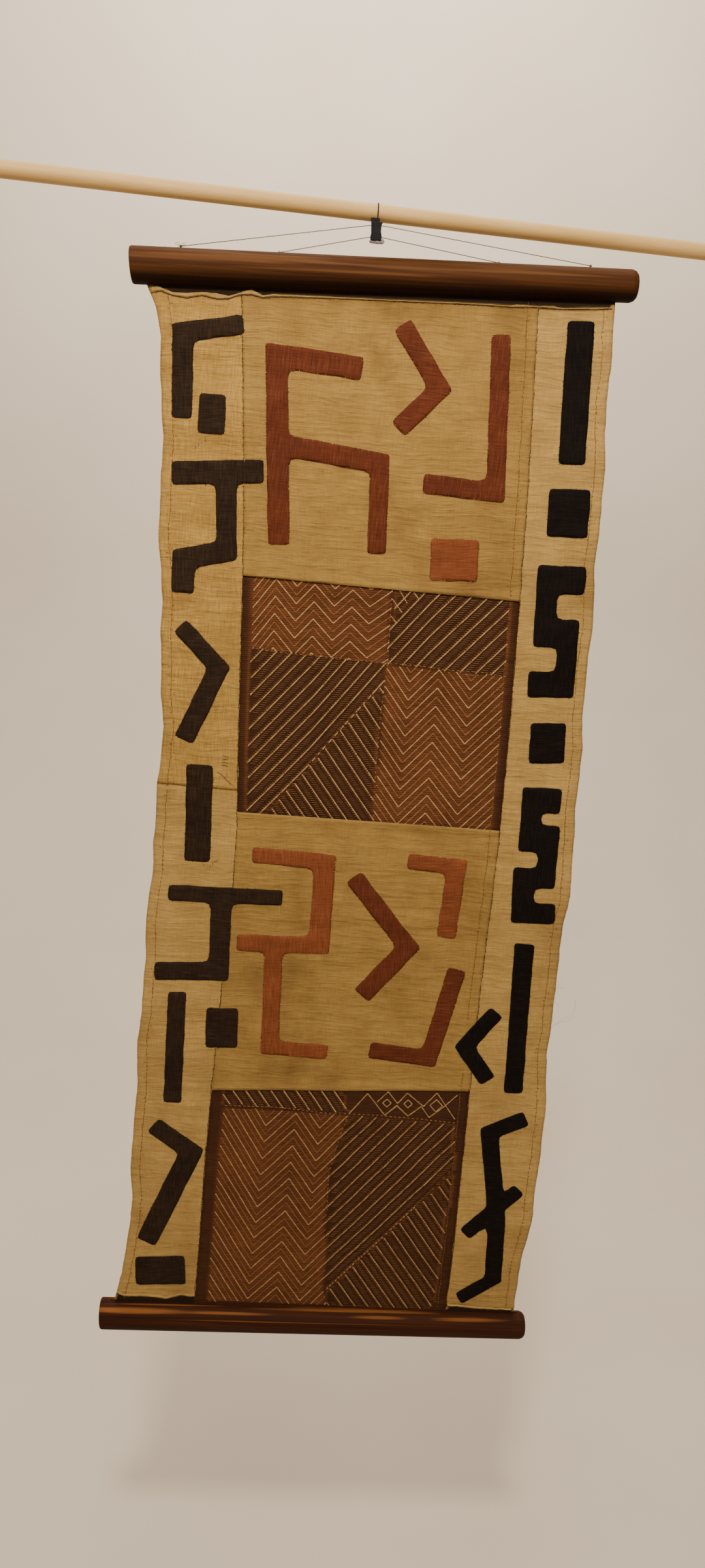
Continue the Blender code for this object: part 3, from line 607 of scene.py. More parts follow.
def sew_on(name, material, number):
    """One applique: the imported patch's face, cut finer, laid on the cloth and rounded at its rim."""
    bm = front_face(name)
    for axis in (0, 2):
        spread = [vert.co[axis] for vert in bm.verts]
        for step in range(math.ceil(min(spread) / APPLIQUE_CELL), math.ceil(max(spread) / APPLIQUE_CELL)):
            place, way = Vector(), Vector()
            place[axis], way[axis] = step * APPLIQUE_CELL, 1.0
            bmesh.ops.bisect_plane(bm, geom=bm.verts[:] + bm.edges[:] + bm.faces[:], dist=1e-5,
                                   plane_co=place, plane_no=way)
    bmesh.ops.remove_doubles(bm, verts=bm.verts, dist=4e-4)
    rim = [vert for vert in bm.verts if vert.is_boundary]
    nearest = kdtree.KDTree(len(rim))
    for at, vert in enumerate(rim):
        nearest.insert((vert.co.x, 0, vert.co.z), at)
    nearest.balance()
    for vert in bm.verts:
        away = nearest.find((vert.co.x, 0, vert.co.z))[2]
        inner = smooth(away / 0.004)
        turned = 0.0003 * (1 - smooth((away - 0.006) / 0.004)) * inner
        drift = noise.noise_vector(Vector((vert.co.x * 55, number, vert.co.z * 55))) * 0.0009
        vert.co.x += drift.x
        vert.co.z += drift.z
        front = cloth_front(vert.co.x, vert.co.z)
        ripple = 0.0004 * noise.noise(Vector((vert.co.x * 60, number, vert.co.z * 60)))
        vert.co.y = (front if front is not None else vert.co.y) - 0.0005 - 0.0005 * inner - turned - ripple * inner
    layer = bm.loops.layers.uv.new("cloth")
    turn = Matrix.Rotation(math.radians((37 * number) % 12 - 6 + 90 * (number % 2)), 2)
    for face in bm.faces:
        face.smooth = True
        for loop in face.loops:
            loop[layer].uv = turn @ Vector((loop.vert.co.x + number * 0.37, loop.vert.co.z))
    rims[name] = rim_walk(bm)
    area = sum(face.calc_area() for face in bm.faces)
    middle_face = max(bm.faces, key=lambda face: face.calc_area()).calc_center_median()
    under = panel_under(middle_face.x, middle_face.z)
    mesh = bpy.data.meshes.new(name + "_patch")
    bm.to_mesh(mesh)
    bm.free()
    piece = bpy.data.objects.new(name + "_patch", mesh)
    bpy.context.scene.collection.objects.link(piece)
    mesh.materials.clear()
    mesh.materials.append(material)
    back = piece.modifiers.new("thickness", "SOLIDIFY")
    back.thickness = APPLIQUE_THICKNESS
    back.offset = -1.0
    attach(piece, "root")
    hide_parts(name)
    wide = max(v.co.x for v in mesh.vertices) - min(v.co.x for v in mesh.vertices)
    tall = max(v.co.z for v in mesh.vertices) - min(v.co.z for v in mesh.vertices)
    if area < 0.32 * wide * tall:
        wide, tall = area / (wide + tall), wide + tall
    return piece


rims = {}
black_raffia = dyed_raffia("black_raffia", "221710", "140D0A", "080504", "3E2A1C", 0.35)
faded_raffia = dyed_raffia("faded_raffia", "4A3624", "302116", "170E09", "644B30", 0.30)
red_raffia = dyed_raffia("red_raffia", "7E3F26", "68321C", "461F12", "9C6A40", 0.25)
rust_raffia = dyed_raffia("rust_raffia", "9C5A36", "884828", "64331D", "B4854E", 0.25)
for number, part in enumerate(frame["record"]["subparts"]):
    finish = {"black_raffia": black_raffia, "red_raffia": red_raffia, "rust_raffia": rust_raffia}.get(
        part.get("material_slot"))
    if finish is black_raffia and part["node"].startswith("left_"):
        finish = faded_raffia
    if finish:
        sew_on(part["node"], finish, number)


# Embroidery: each square is ribbed along its weft and worked all over with stem-stitched lines,
# zigzags in some quarters and slanting bands in the others. Between the lines of a band, tufts of
# the ribs stand up beside each line and in the middle, and the ground there is almost black.
FIELDS = (
    {"square": "ribbed_square_upper", "band": False, "pitch": 11.0, "lean": 0.0, "tones": (1.0, 0.55),
     "corners": ((-131, -430), (48, -434), (48, -543), (-131, -533)),
     "base": ((-128, -478), (-102, -443), (-75, -473), (-52, -447), (-26, -473), (-3, -451), (20, -471), (39, -456))},
    {"square": "ribbed_square_upper", "band": True, "pitch": 22.5, "lean": 0.0, "tones": (1.0,),
     "corners": ((58, -436), (200, -440), (203, -551), (48, -543), (46, -506)),
     "base": ((52, -539), (100, -482), (130, -450))},
    {"square": "ribbed_square_upper", "band": True, "pitch": 22.5, "lean": 0.0, "tones": (1.0,),
     "corners": ((-130, -533), (47, -543), (46, -566), (31, -583), (-47, -682), (-110, -757), (-127, -757)),
     "base": ((-110, -753), (-47, -682), (31, -583))},
    {"square": "ribbed_square_upper", "band": True, "pitch": 24.8, "lean": 0.0, "tones": (1.0,),
     "corners": ((-104, -757), (-47, -685), (31, -586), (45, -570), (44, -600), (42, -704), (43, -758)),
     "base": ((1, -622), (43, -678))},
    {"square": "ribbed_square_upper", "band": False, "pitch": 12.0, "lean": 0.02, "tones": (1.0, 0.6),
     "corners": ((48, -545), (203, -551), (203, -690), (201, -762), (44, -762), (44, -660)),
     "base": ((48, -599), (77, -637), (115, -595), (157, -643), (204, -593))},
    {"square": "ribbed_square_lower", "band": True, "pitch": 25.0, "lean": 0.0, "tones": (1.0,),
     "corners": ((-141, -1140), (22, -1136), (34, -1176), (-141, -1172)),
     "base": ((-129, -1150), (-110, -1176))},
    {"square": "ribbed_square_lower", "band": False, "pitch": 12.5, "lean": 0.05, "tones": (0.85, 0.45),
     "corners": ((-140, -1177), (34, -1180), (26, -1212), (13, -1272), (14, -1380), (16, -1454), (22, -1482),
                 (-151, -1482), (-149, -1400), (-145, -1292)),
     "base": ((-152, -1328), (-91, -1427), (-48, -1381), (-15, -1427), (26, -1379))},
    {"square": "ribbed_square_lower", "band": True, "pitch": 23.5, "lean": 0.0, "tones": (0.85,),
     "corners": ((36, -1181), (188, -1188), (190, -1258), (140, -1318), (99, -1366), (21, -1456), (16, -1450),
                 (14, -1380), (13, -1272), (26, -1212)),
     "base": ((21, -1456), (99, -1366), (140, -1318), (192, -1259))},
    {"square": "ribbed_square_lower", "band": True, "pitch": 26.9, "lean": 0.0, "tones": (0.85,),
     "corners": ((190, -1263), (140, -1321), (99, -1369), (21, -1460), (22, -1482), (176, -1482), (183, -1431)),
     "base": ((77, -1393), (137, -1477))},
)
# Single lines: the dividers between the quarters, dashed, and the small figures beside the bands
LINES = (
    {"dashed": True, "points": ((-131, -533), (-88, -537), (-10, -540), (37, -542), (93, -543), (118, -546),
                                (176, -547), (205, -551))},
    {"dashed": True, "points": ((47, -457), (48, -543), (44, -597), (42, -652), (42, -704), (43, -757))},
    {"dashed": True, "points": ((-140, -1174), (-70, -1173), (0, -1178), (61, -1178), (124, -1181), (189, -1186))},
    {"dashed": True, "points": ((36, -1178), (26, -1212), (13, -1272), (14, -1330))},
    {"dashed": False, "points": ((57, -448), (68, -464))},
    {"dashed": False, "points": ((75, -449), (82, -457))},
    {"dashed": False, "points": ((48, -459), (62, -476))},
    {"dashed": False, "points": ((48, -481), (55, -489))},
    {"dashed": False, "points": ((36, -1178), (61, -1147), (87, -1178), (104, -1163))},
    {"dashed": False, "points": ((75, -1159), (90, -1143), (104, -1160), (117, -1144), (141, -1163), (159, -1142),
                                 (172, -1160), (187, -1180))},
    {"dashed": False, "points": ((87, -1178), (103, -1163), (120, -1178), (138, -1163), (150, -1179), (170, -1162),
                                 (188, -1144))},
    {"dashed": False, "points": ((89, -1154), (95, -1160), (89, -1166), (83, -1160), (89, -1154))},
    {"dashed": False, "points": ((119, -1154), (125, -1160), (119, -1166), (113, -1160), (119, -1154))},
    {"dashed": False, "points": ((159, -1152), (168, -1161), (159, -1170), (150, -1161), (159, -1152))},
)
STITCH_LENGTH = 4.4
STITCH_STEP = 3.0
STITCH_WIDTH = 2.0
DASH_STEP = 6.5


def within(x, z, corners):
    """Whether a point lies inside a field's corners."""
    inside = False
    for (ax, az), (bx, bz) in zip(corners, corners[1:] + corners[:1]):
        if (az > z) != (bz > z) and x < ax + (bx - ax) * (z - az) / (bz - az):
            inside = not inside
    return inside


def drawn_out(points, reach):
    """A base line with its two ends drawn out as far as a field may need."""
    (ax, az), (bx, bz) = points[:2]
    (cx, cz), (dx, dz) = points[-2:]
    first = (ax - reach, az - reach * (bz - az) / (bx - ax))
    last = (dx + reach, dz + reach * (dz - cz) / (dx - cx))
    return (first,) + points[1:-1] + (last,) if len(points) > 2 else (first, last)


def height_on(points, x):
    """The height of a base line at x."""
    for (ax, az), (bx, bz) in zip(points, points[1:]):
        if x <= bx:
            return az + (bz - az) * (x - ax) / (bx - ax)
    return points[-1][1]


def stem_row(stitches, start, end, tone, draw, dashed=False):
    """Stitches along a straight stretch of a line, each a little across it, as stem stitch lies."""
    way = Vector(end) - Vector(start)
    step = DASH_STEP if dashed else STITCH_STEP
    angle = math.atan2(way.y, way.x)
    for count in range(max(round(way.length / step), 1)):
        x, z = Vector(start) + way * (count + 0.5) / max(round(way.length / step), 1)
        tilt = 0.0 if dashed else 0.15
        stitches.append((x, z, angle + tilt + draw.uniform(-0.06, 0.06), STITCH_LENGTH * draw.uniform(0.9, 1.1),
                         STITCH_WIDTH * (0.6 if dashed else draw.uniform(0.85, 1.1)), tone * draw.uniform(0.8, 1.05)))


def field_stitches(field, draw):
    """The stem-stitched lines of a field: its base line again and again, a pitch apart."""
    stitches = []
    base = drawn_out(field["base"], 220.0)
    lowest = min(z for x, z in field["corners"])
    highest = max(z for x, z in field["corners"])
    heights = [z for x, z in base]
    first = math.floor((lowest - max(heights)) / field["pitch"])
    last = math.ceil((highest - min(heights)) / field["pitch"])
    for line in range(first, last + 1):
        rise = line * field["pitch"]
        lean = field["lean"] * rise
        tone = field["tones"][line % len(field["tones"])]
        row = []
        for (ax, az), (bx, bz) in zip(base, base[1:]):
            stem_row(row, (ax + lean, az + rise), (bx + lean, bz + rise), tone, draw)
        stitches += [stitch for stitch in row if within(stitch[0], stitch[1], field["corners"])]
    return stitches


def field_tufts(field, draw):
    """The raised rib ends of a band field: short stitches along the ribs, beside and between its lines."""
    tufts = []
    base = drawn_out(field["base"], 220.0)
    slope = (base[-1][1] - base[0][1]) / (base[-1][0] - base[0][0])
    period = abs(field["pitch"] / slope)
    lowest = min(z for x, z in field["corners"])
    highest = max(z for x, z in field["corners"])
    for rib in range(math.floor(lowest / 2.7), math.ceil(highest / 2.7)):
        z = (rib + 0.5) * 2.7
        x = min(x for x, z in field["corners"])
        while x < max(x for x, z in field["corners"]):
            phase = (z - height_on(base, x)) / field["pitch"]
            to_next = (phase - math.floor(phase)) * period if slope > 0 else (math.ceil(phase) - phase) * period
            x += to_next
            for centre, length, tone in ((0.44, 0.54, 0.14), (-0.06, 0.34, 0.26)):
                at = x + centre * period + draw.uniform(-0.5, 0.5)
                if within(at, z, field["corners"]):
                    tufts.append((at, z, 0.0, length * period * draw.uniform(0.85, 1.1), 1.9, tone * draw.uniform(0.75, 1.2)))
            x += 0.5 * period
    return tufts


def stitch_mesh(name, stitches, material, height, lift, carrier=None):
    """One mesh of many stitches: a small round-ended grain copied to each row and laid on the cloth.

    A row is x, z and angle, then length and width in millimetres, and how pale it is."""
    grain = bmesh.new()
    bmesh.ops.create_uvsphere(grain, u_segments=5, v_segments=3, radius=0.5)
    corners = [vert.co.copy() for vert in grain.verts]
    sides = [[vert.index for vert in face.verts] for face in grain.faces]
    grain.free()
    points, polygons, tones = [], [], []
    for x, z, angle, length, width, tone in stitches:
        if carrier is None:
            front = cloth_front(x * MM, z * MM)
        else:
            hit = carrier.ray_cast(Vector((x * MM, -1, z * MM)), Vector((0, 1, 0)))[0]
            front = hit and hit.y
        if front is None:
            continue
        way = Vector((math.cos(angle), 0, math.sin(angle)))
        across = Vector((-way.z, 0, way.x))
        middle = Vector((x * MM, front - lift, z * MM))
        start = len(points)
        for corner in corners:
            points.append(middle + way * corner.z * length * MM + across * corner.x * width * MM
                          + Vector((0, corner.y * height, 0)))
        polygons += [[start + index for index in side] for side in sides]
        tones += [tone] * len(corners)
    mesh = bpy.data.meshes.new(name)
    mesh.from_pydata(points, [], polygons)
    mesh.polygons.foreach_set("use_smooth", [True] * len(polygons))
    shade = mesh.attributes.new("tone", "FLOAT", "POINT")
    shade.data.foreach_set("value", tones)
    mesh.materials.append(material)
    bm = bmesh.new()
    bm.from_mesh(mesh)
    bmesh.ops.recalc_face_normals(bm, faces=bm.faces)
    bm.to_mesh(mesh)
    bm.free()
    piece = bpy.data.objects.new(name, mesh)
    bpy.context.scene.collection.objects.link(piece)
    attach(piece, "root")
    return piece


def embroidery_raffia():
    """Embroidery raffia: cream lines, olive-brown rib ends, each stitch a little lighter or darker."""
    made, tree, shader = start_material("embroidery_raffia", 0.8, 0.0, 0.2)
    tone = add_node(tree, "ShaderNodeAttribute", attribute_name="tone").outputs["Fac"]
    low = add_node(tree, "ShaderNodeMapRange", {0: tone, 1: 0.0, 2: 0.5}).outputs[0]
    high = add_node(tree, "ShaderNodeMapRange", {0: tone, 1: 0.5, 2: 1.0}).outputs[0]
    thread = between(tree, high, between(tree, low, "4A2C16", "8C5E34"), "CBA268")
    place = add_node(tree, "ShaderNodeTexCoord").outputs["Object"]
    fibre = streaks(tree, place, (700.0, 700.0, 700.0), 2.0)
    dim = add_node(tree, "ShaderNodeMath", {0: fibre, 1: 0.25}, operation="MULTIPLY").outputs[0]
    tree.links.new(between(tree, dim, thread, "3A2212"), shader.inputs["Base Color"])
    return made


embroidery = embroidery_raffia()
draw = random.Random(5)
for square in ("ribbed_square_upper", "ribbed_square_lower"):
    here = [field for field in FIELDS if field["square"] == square]
    lines = [stitch for field in here for stitch in field_stitches(field, draw)]
    tufts = [tuft for field in here if field["band"] for tuft in field_tufts(field, draw)]
    carrier = surfaces[[row["name"] for row in PANELS].index(square)]
    stitch_mesh(square + "_lines", lines, embroidery, 0.0014, 0.0002, carrier)
    stitch_mesh(square + "_tufts", tufts, embroidery, 0.0009, 0.0000, carrier)
singles = []
for line in LINES:
    for start, end in zip(line["points"], line["points"][1:]):
        stem_row(singles, start, end, 0.62 if line["dashed"] else 0.85, draw, line["dashed"])
stitch_mesh("divider_lines", singles, embroidery, 0.0014, 0.0002)
# Ground of the squares: reddish brown under the zigzags, almost black under the bands, brown at the border
for square in ("ribbed_square_upper", "ribbed_square_lower"):
    mesh = bpy.data.objects[square + "_cloth"].data
    here = [field for field in FIELDS if field["square"] == square]
    depth = mesh.attributes.new("ground", "FLOAT", "POINT")
    for vert, value in zip(mesh.vertices, depth.data):
        x, z = vert.co.x / MM, vert.co.z / MM
        value.value = next((1.0 if field["band"] else 0.5 for field in here if within(x, z, field["corners"])), 0.0)


# Sewing: whipping round each applique, dark strokes under the lips (painted shadow, with a dark thread), small stitches
# over the seams, a soft line along the hems (painted shade of the fold, with short stitches), the darning of an old
# tear with painted highlights on its puckers, and a few fibres that stand loose from the right edge.
def sewing_thread():
    """Sewing raffia: from near black through red-brown to cream, by each stitch's own tone."""
    made, tree, shader = start_material("sewing_thread", 0.8, 0.0, 0.2)
    tone = add_node(tree, "ShaderNodeAttribute", attribute_name="tone").outputs["Fac"]
    low = add_node(tree, "ShaderNodeMapRange", {0: tone, 1: 0.0, 2: 0.5}).outputs[0]
    high = add_node(tree, "ShaderNodeMapRange", {0: tone, 1: 0.5, 2: 1.0}).outputs[0]
    thread = between(tree, high, between(tree, low, "150D08", "85592C"), "D8B474")
    place = add_node(tree, "ShaderNodeTexCoord").outputs["Object"]
    fibre = streaks(tree, place, (900.0, 900.0, 900.0), 2.0)
    dim = add_node(tree, "ShaderNodeMath", {0: fibre, 1: 0.2}, operation="MULTIPLY").outputs[0]
    tree.links.new(between(tree, dim, thread, "2A190E"), shader.inputs["Base Color"])
    return made


LIPS = (
    {"name": "top_lip", "line": (
        (-271, -109, 7.5), (-264, -107.5, 7.0), (-258, -106.5, 4.0), (-245, -110.5, 3.7), (-228, -112, 5.5),
        (-210, -108, 3.8), (-190, -111, 6.6), (-177, -109.5, 2.9), (-164, -104.5, 2.4), (-154, -103.5, 5.2),
        (-149, -103, 6.6), (-144, -104, 4.6), (-135, -105.5, 2.7), (-123, -103.5, 2.8), (-100, -102.5, 2.4),
        (-60, -101, 1.8), (-20, -99.6, 1.3), (20, -98.8, 1.3), (70, -97.4, 1.3), (120, -96, 1.5), (167, -95.6, 1.5),
        (176, -95.8, 3.4), (188, -94.6, 2.6), (200, -94.0, 1.4), (222, -94.2, 3.2), (232, -93.8, 1.6),
        (249, -92.8, 1.5), (275, -91.4, 2.0), (295, -89.5, 1.5))},
    {"name": "left_foot_lip", "line": (
        (-283, -1475, 4.5), (-270, -1480.5, 4.5), (-247, -1479, 4.5), (-228, -1480, 4.0), (-211, -1482, 4.5),
        (-198, -1478, 4.5), (-189, -1475, 4.5), (-178, -1477, 4.0), (-170, -1476.5, 4.0))},
    {"name": "right_foot_lip", "line": (
        (200, -1477, 3.0), (213, -1476.6, 3.0), (230, -1478.5, 3.0), (245, -1479.3, 3.0), (270, -1479.8, 3.0),
        (294, -1479.3, 3.0))},
)
LIP_RISE = (0.2, 1.3, 1.9, 1.7, 0.2)


def rolled_lip(row, material):
    """A turned edge of the cloth that stands out as a small roll over its own shadow."""
    run = [Vector(point) for point in row["line"]]
    count = round(sum((b - a).length for a, b in zip(run, run[1:])) / 1.6)
    bm = bmesh.new()
    bmesh.ops.create_grid(bm, x_segments=count, y_segments=len(LIP_RISE) - 1, size=0.5)
    for vert in bm.verts:
        part, step = vert.co.x + 0.5, round((vert.co.y + 0.5) * (len(LIP_RISE) - 1))
        low = along(run, part)
        low.y += 0.5 * noise.noise(Vector((low.x * 0.12, 2.0, 0)))
        z = low.y + low.z * step / (len(LIP_RISE) - 1)
        rise = LIP_RISE[len(LIP_RISE) - 1 - step] * (0.8 + 0.5 * noise.noise(Vector((low.x * 0.05, 9.0, 0))))
        front = cloth_front(low.x * MM, z * MM)
        vert.co = Vector((low.x * MM, (front if front is not None else -FRONT) - rise * MM * 0.8 + 0.0001, z * MM))
    layer = bm.loops.layers.uv.new("cloth")
    for face in bm.faces:
        face.smooth = True
        for loop in face.loops:
            loop[layer].uv = (loop.vert.co.x, loop.vert.co.z * 1.7)
    bm.normal_update()
    if sum(face.normal.y for face in bm.faces) > 0:
        bmesh.ops.reverse_faces(bm, faces=bm.faces)
    mesh = bpy.data.meshes.new(row["name"])
    bm.to_mesh(mesh)
    bm.free()
    mesh.materials.append(material)
    piece = bpy.data.objects.new(row["name"], mesh)
    bpy.context.scene.collection.objects.link(piece)
    back = piece.modifiers.new("thickness", "SOLIDIFY")
    back.thickness = 0.0006
    back.offset = -1.0
    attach(piece, "root")


# Dark strokes just under each lip: painted shadow under the rolled edge, along with the dark thread that holds it
shadow_lines = []
draw = random.Random(3)
for row in LIPS:
    rolled_lip(row, strip_raffia)
    points = [Vector(point).xy for point in row["line"]]
    for a, b in zip(points, points[1:]):
        way = b - a
        for count in range(max(round(way.length / 2.6), 1)):
            x, z = a + way * (count + 0.5) / max(round(way.length / 2.6), 1)
            shadow_lines.append((x, z - 0.6 + draw.uniform(-0.3, 0.3), math.atan2(way.y, way.x) + draw.uniform(-0.2, 0.2), 4.0,
                                 draw.uniform(0.9, 1.5), draw.uniform(0.05, 0.2)))
# Painted shade: the cloth darkens next to each batten, as far as the lips reach, for the batten's shadow and the shadow
# under the lips, with some dirt where the cloth goes in
for panel in PANELS:
    mesh = bpy.data.objects[panel["name"] + "_cloth"].data
    depth = mesh.attributes.new("batten_shade_and_dirt", "FLOAT", "POINT")
    for vert, value in zip(mesh.vertices, depth.data):
        x, z = vert.co.x / MM, vert.co.z / MM
        reach = 0.0015
        for row in LIPS:
            for (ax, az, a_high), (bx, bz, b_high) in zip(row["line"], row["line"][1:]):
                part = (x - ax) / (bx - ax)
                if 0 <= part <= 1 and abs(z - az) < 60:
                    lip = az + a_high / 2 + (bz + b_high / 2 - az - a_high / 2) * part
                    reach = batten_room(vert.co.x, lip * MM)
        value.value = 0.98 * (1 - smooth((batten_room(vert.co.x, vert.co.z) - reach) / 0.002))
WHIP_STEP = 7.0
whipping = []
draw = random.Random(11)
for name, rim in rims.items():
    dark = nodes[name].data.materials[0] is not None and name.startswith(("left_", "right_"))
    loop = [point / MM for point in rim]
    left = 0.0
    for a, b in zip(loop, loop[1:] + loop[:1]):
        way = b - a
        while left < way.length:
            x, z = a + way * (left / way.length)
            tone = draw.choice((0.08, 0.12, 0.2, 0.35)) if dark else draw.choice((0.3, 0.4, 0.75, 0.9, 1.0))
            turned = math.atan2(way.y, way.x) + math.pi / 2 + draw.uniform(-0.5, 0.9)
            whipping.append((x + draw.uniform(-0.5, 0.5), z + draw.uniform(-0.5, 0.5), turned,
                             draw.uniform(1.0, 2.6), draw.uniform(0.5, 0.9), tone))
            left += WHIP_STEP * draw.uniform(0.4, 2.4)
        left -= way.length
thread_finish = sewing_thread()
stitch_mesh("applique_whipping", whipping, thread_finish, 0.0010, 0.0008)
# The strokes under the lips paint their shadow
stitch_mesh("lip_shadow_strokes", shadow_lines, thread_finish, 0.0008, 0.0002)

SEAM_ROWS = (
    {"panel": "left_strip_upper", "side": "right", "step": 8.5, "inset": (0.0, 0.0), "kind": "ticks", "tone": 0.25},
    {"panel": "left_strip_lower", "side": "right", "step": 9.5, "inset": (0.0, 0.0), "kind": "ticks", "tone": 0.25},
    {"panel": "right_strip", "side": "left", "step": 9.0, "inset": (0.0, 0.0), "kind": "ticks", "tone": 0.30},
    {"panel": "left_strip_upper", "side": "foot", "step": 7.0, "inset": (0.0, 0.0), "kind": "ticks", "tone": 0.30},
    {"panel": "left_strip_upper", "side": "right", "step": 5.0, "inset": (0.0, 0.0), "kind": "line", "tone": 0.13},
    {"panel": "left_strip_lower", "side": "right", "step": 5.0, "inset": (0.0, 0.0), "kind": "line", "tone": 0.13},
    {"panel": "right_strip", "side": "left", "step": 5.0, "inset": (0.0, 0.0), "kind": "line", "tone": 0.13},
    # Hem rows: long overlapping strokes that paint the shade of the hem's fold as a soft brown line, with a few short
    # stitches among them
    {"panel": "left_strip_upper", "side": "left", "step": 6.0, "inset": (13.0, 0.0), "kind": "hem", "tone": 0.50},
    {"panel": "left_strip_lower", "side": "left", "step": 6.0, "inset": (13.0, 0.0), "kind": "hem", "tone": 0.50},
    {"panel": "right_strip", "side": "right", "step": 6.0, "inset": (-13.0, 0.0), "kind": "hem", "tone": 0.50},
    {"panel": "right_strip", "side": "left", "step": 6.0, "inset": (-13.0, 0.0), "kind": "hem", "tone": 0.46},
)
STITCH_KINDS = {
    "ticks": {"turn": (1.27, 1.87), "length": (2.5, 4.6), "width": (0.5, 0.8)},
    "line": {"turn": (-0.1, 0.1), "length": (5.0, 7.0), "width": (0.9, 1.5)},
    "hem": {"turn": (-0.10, 0.10), "length": (5.0, 8.0), "width": (0.8, 1.4)},
}
seam_stitches = []
for row in SEAM_ROWS:
    kind = STITCH_KINDS[row["kind"]]
    run = [point / MM for point in edge_runs(row["panel"])[row["side"]]]
    length = sum((b - a).length for a, b in zip(run, run[1:]))
    for count in range(int(length / row["step"])):
        here, ahead = along(run, count * row["step"] / length), along(run, (count * row["step"] + 4) / length)
        if batten_room(here.x * MM, here.y * MM) < 0.004 or any(
                within(here.x * MM, here.y * MM, [tuple(point) for point in rim]) for rim in rims.values()):
            continue
        heading = math.atan2(ahead.y - here.y, ahead.x - here.x)
        x, z = here + Vector(row["inset"])
        x += 1.2 * noise.noise(Vector((row["inset"][0], 0, z * 0.038)))
        seam_stitches.append((x + draw.uniform(-0.4, 0.4), z, heading + draw.uniform(*kind["turn"]),
                              draw.uniform(*kind["length"]), draw.uniform(*kind["width"]),
                              row["tone"] * draw.uniform(0.85, 1.1)))
        if row["kind"] == "hem" and draw.random() < 0.45:
            seam_stitches.append((x + draw.uniform(-4, 4), z, draw.uniform(-0.3, 0.3), draw.uniform(1.5, 3.0), 0.6, 0.3))
# Mends: each a few dark strokes, each with a pale stroke just below it that paints the highlight on the pucker's edge,
# at the old tear above the join of the left strips
MENDS = (
    {"x": -158.0, "z": -677.5, "step": (0.2, -4.1), "count": 4, "turn": -0.20, "length": 11.0},
    {"x": -164.0, "z": -700.5, "step": (3.8, -3.3), "count": 5, "turn": -0.45, "length": 9.0},
)
for row in MENDS:
    for count in range(row["count"]):
        x, z = row["x"] + count * row["step"][0], row["z"] + count * row["step"][1]
        for drop, width, tone in ((0.0, 0.9, 0.2), (1.3, 1.0, 0.75)):
            seam_stitches.append((x + draw.uniform(-0.6, 0.6), z - drop, row["turn"] + draw.uniform(-0.12, 0.12),
                                  row["length"] * draw.uniform(0.75, 1.0), width, tone))
# Frayed ends at the foot of the left bar
for x, z, angle, length, tone in ((-166, -814, 0.15, 9, 0.9), (-169, -825, 1.9, 6, 0.12), (-175, -827, 1.4, 6, 0.8),
                                  (-165, -821, 0.5, 8, 0.1), (-181, -827, 1.6, 5, 0.1), (-172, -828, 1.7, 5, 0.12)):
    seam_stitches.append((x, z, angle, length, 0.7, tone))
# Pulled threads below the left hook, and one red-brown stitch at its corner
for count in range(16):
    seam_stitches.append((-203 + draw.uniform(-10, 10), -281 + draw.uniform(-8, 8), 1.57 + draw.uniform(-0.1, 0.1),
                          draw.uniform(1.5, 3.5), 0.6, draw.choice((0.2, 0.9))))
seam_stitches.append((-244, -145, 0.3, 6.0, 1.6, 0.25))
stitch_mesh("seam_stitches", seam_stitches, thread_finish, 0.0007, 0.0002)


# Loose fibres: raffia ends that stand out past the right edge, and the bow of the left thread's knot
LOOSE_ENDS = (
    {"reach": 0.14, "points": ((309, -1035), (321, -1026), (332, -1024), (336, -1020), (341, -1006), (340, -992))},
    {"reach": 0.10, "points": ((309, -1034), (324, -1022), (334, -1015))},
    {"reach": 0.08, "points": ((310, -997), (316, -1000), (322, -1006))},
    {"reach": 0.10, "points": ((304, -972), (311, -976), (323, -975))},
    {"reach": 0.10, "points": ((303, -1172), (308, -1171), (314, -1169), (324, -1161))},
    {"reach": 0.10, "points": ((304, -1188), (309, -1189), (315, -1190), (319, -1185), (324, -1182))},
    {"reach": 0.25, "points": ((-237, -53.5), (-241, -49.5), (-244, -51.5), (-237, -53.5), (-233, -49.5), (-230.5, -52),
                                (-237, -53.5), (-241, -56))},
)
strands = bpy.data.curves.new("loose_fibres", "CURVE")
strands.dimensions = "3D"
strands.bevel_depth = 1.0
strands.bevel_resolution = 0
for row in LOOSE_ENDS:
    spline = strands.splines.new("POLY")
    run = [Vector(point) for point in row["points"]]
    spline.points.add(4 * (len(run) - 1))
    for count, point in enumerate(spline.points):
        place = along(run, count / (len(spline.points) - 1))
        point.co = (place.x * MM, -0.0035 if place.y < -900 else -0.002, place.y * MM, 1.0)
        point.radius = row["reach"] * MM
strands.materials.append(twine)
fibres = bpy.data.objects.new("loose_fibres", strands)
bpy.context.scene.collection.objects.link(fibres)
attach(fibres, "root")


# Sweep: a pale floor that curves up into a backdrop, far enough behind for the cloth's back to be seen.
def plaster():
    """Painted plaster: pale warm grey with faint unevenness."""
    made, tree, shader = start_material("plaster", 0.9, 0.0, 0.1)
    place = add_node(tree, "ShaderNodeTexCoord").outputs["Object"]
    mottle = streaks(tree, place, (1.5, 1.5, 1.5), 4.0)
    tree.links.new(between(tree, mottle, "DDD0BF", "E2D6C6"), shader.inputs["Base Color"])
    return made


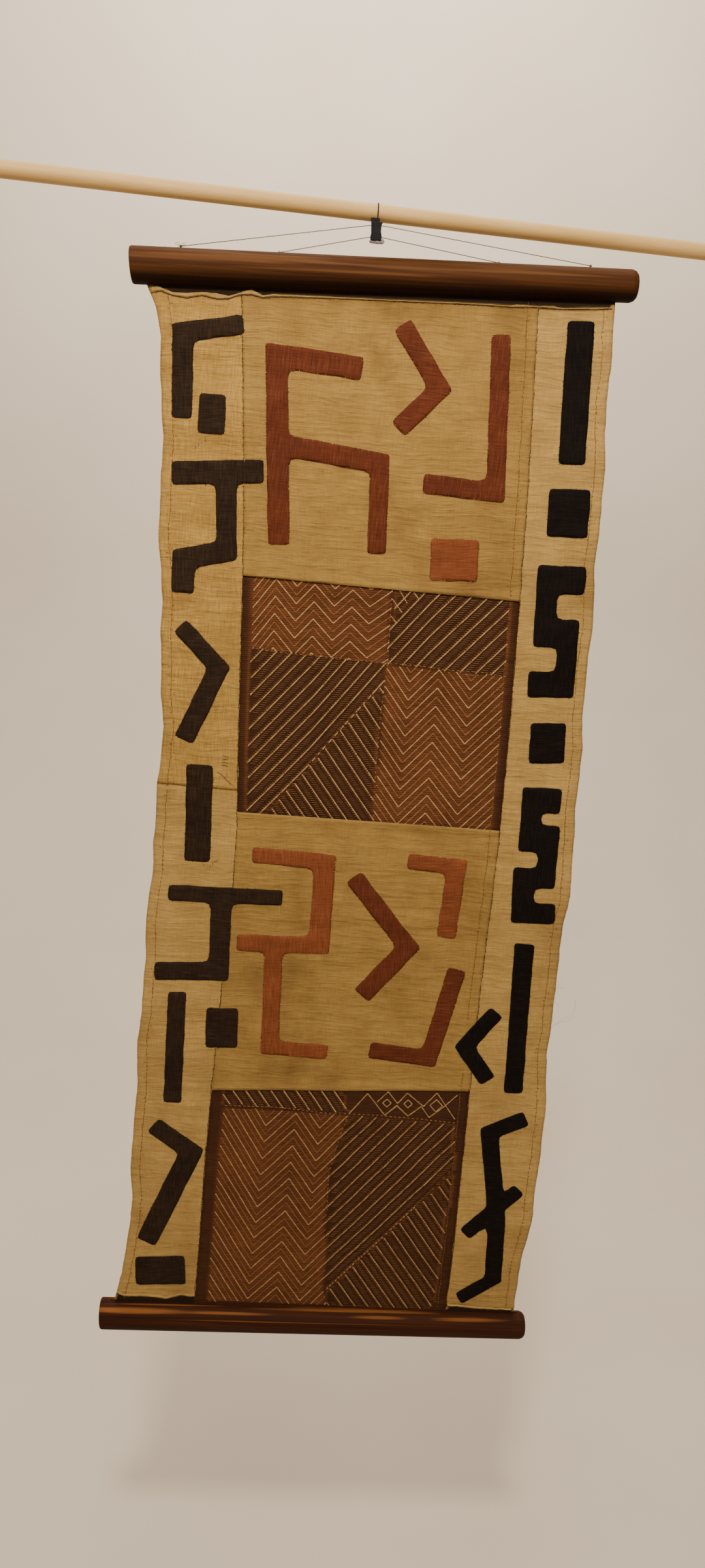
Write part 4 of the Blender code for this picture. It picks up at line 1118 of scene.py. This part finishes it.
SWEEP = {"floor": -2.25, "front": -9.0, "back": 3.6, "top": 4.5, "half_wide": 9.0, "round": 1.8, "steps": 16}
profile = [Vector((-SWEEP["half_wide"], SWEEP["front"], SWEEP["floor"]))]
for step in range(SWEEP["steps"] + 1):
    turn = math.pi / 2 * step / SWEEP["steps"]
    profile.append(Vector((-SWEEP["half_wide"], SWEEP["back"] - SWEEP["round"] * (1 - math.sin(turn)),
                           SWEEP["floor"] + SWEEP["round"] * (1 - math.cos(turn)))))
profile.append(Vector((-SWEEP["half_wide"], SWEEP["back"], SWEEP["top"])))
bm = bmesh.new()
row = [bm.verts.new(point) for point in profile]
edges = [bm.edges.new(pair) for pair in zip(row, row[1:])]
drawn = bmesh.ops.extrude_edge_only(bm, edges=edges)["geom"]
bmesh.ops.translate(bm, verts=[item for item in drawn if isinstance(item, bmesh.types.BMVert)],
                    vec=(2 * SWEEP["half_wide"], 0, 0))
for face in bm.faces:
    face.smooth = True
mesh = bpy.data.meshes.new("sweep")
bm.to_mesh(mesh)
bm.free()
mesh.materials.append(plaster())
sweep = bpy.data.objects.new("sweep", mesh)
bpy.context.scene.collection.objects.link(sweep)


# Light: one large soft warm light from above and in front, and a dim fill.
def area_light(name, place, target, size, power, colour):
    """A soft square light turned to a point."""
    lamp = bpy.data.lights.new(name, "AREA")
    lamp.size = size
    lamp.energy = power
    lamp.color = colour
    light = bpy.data.objects.new(name, lamp)
    light.location = place
    light.rotation_euler = (Vector(target) - Vector(place)).to_track_quat("-Z", "Y").to_euler()
    bpy.context.scene.collection.objects.link(light)


area_light("key", (-0.15, -1.75, 1.05), (0, 0, -0.35), 0.22, 60, (1.0, 0.90, 0.77))
area_light("above", (-0.10, -0.75, 1.20), (0, 0, -0.4), 0.5, 11, (1.0, 0.92, 0.82))
area_light("fill", (0.5, -3.0, 0.2), (0, 0, -0.7), 2.5, 8, (1.0, 0.92, 0.82))
area_light("backdrop", (0, 1.2, 3.0), (0, 3.6, 0.9), 1.6, 230, (1.0, 0.90, 0.78))
world = bpy.data.worlds.new("room")
world.use_nodes = True
world.node_tree.nodes["Background"].inputs[0].default_value = (1.0, 0.93, 0.84, 1.0)
world.node_tree.nodes["Background"].inputs[1].default_value = 0.25
bpy.context.scene.world = world
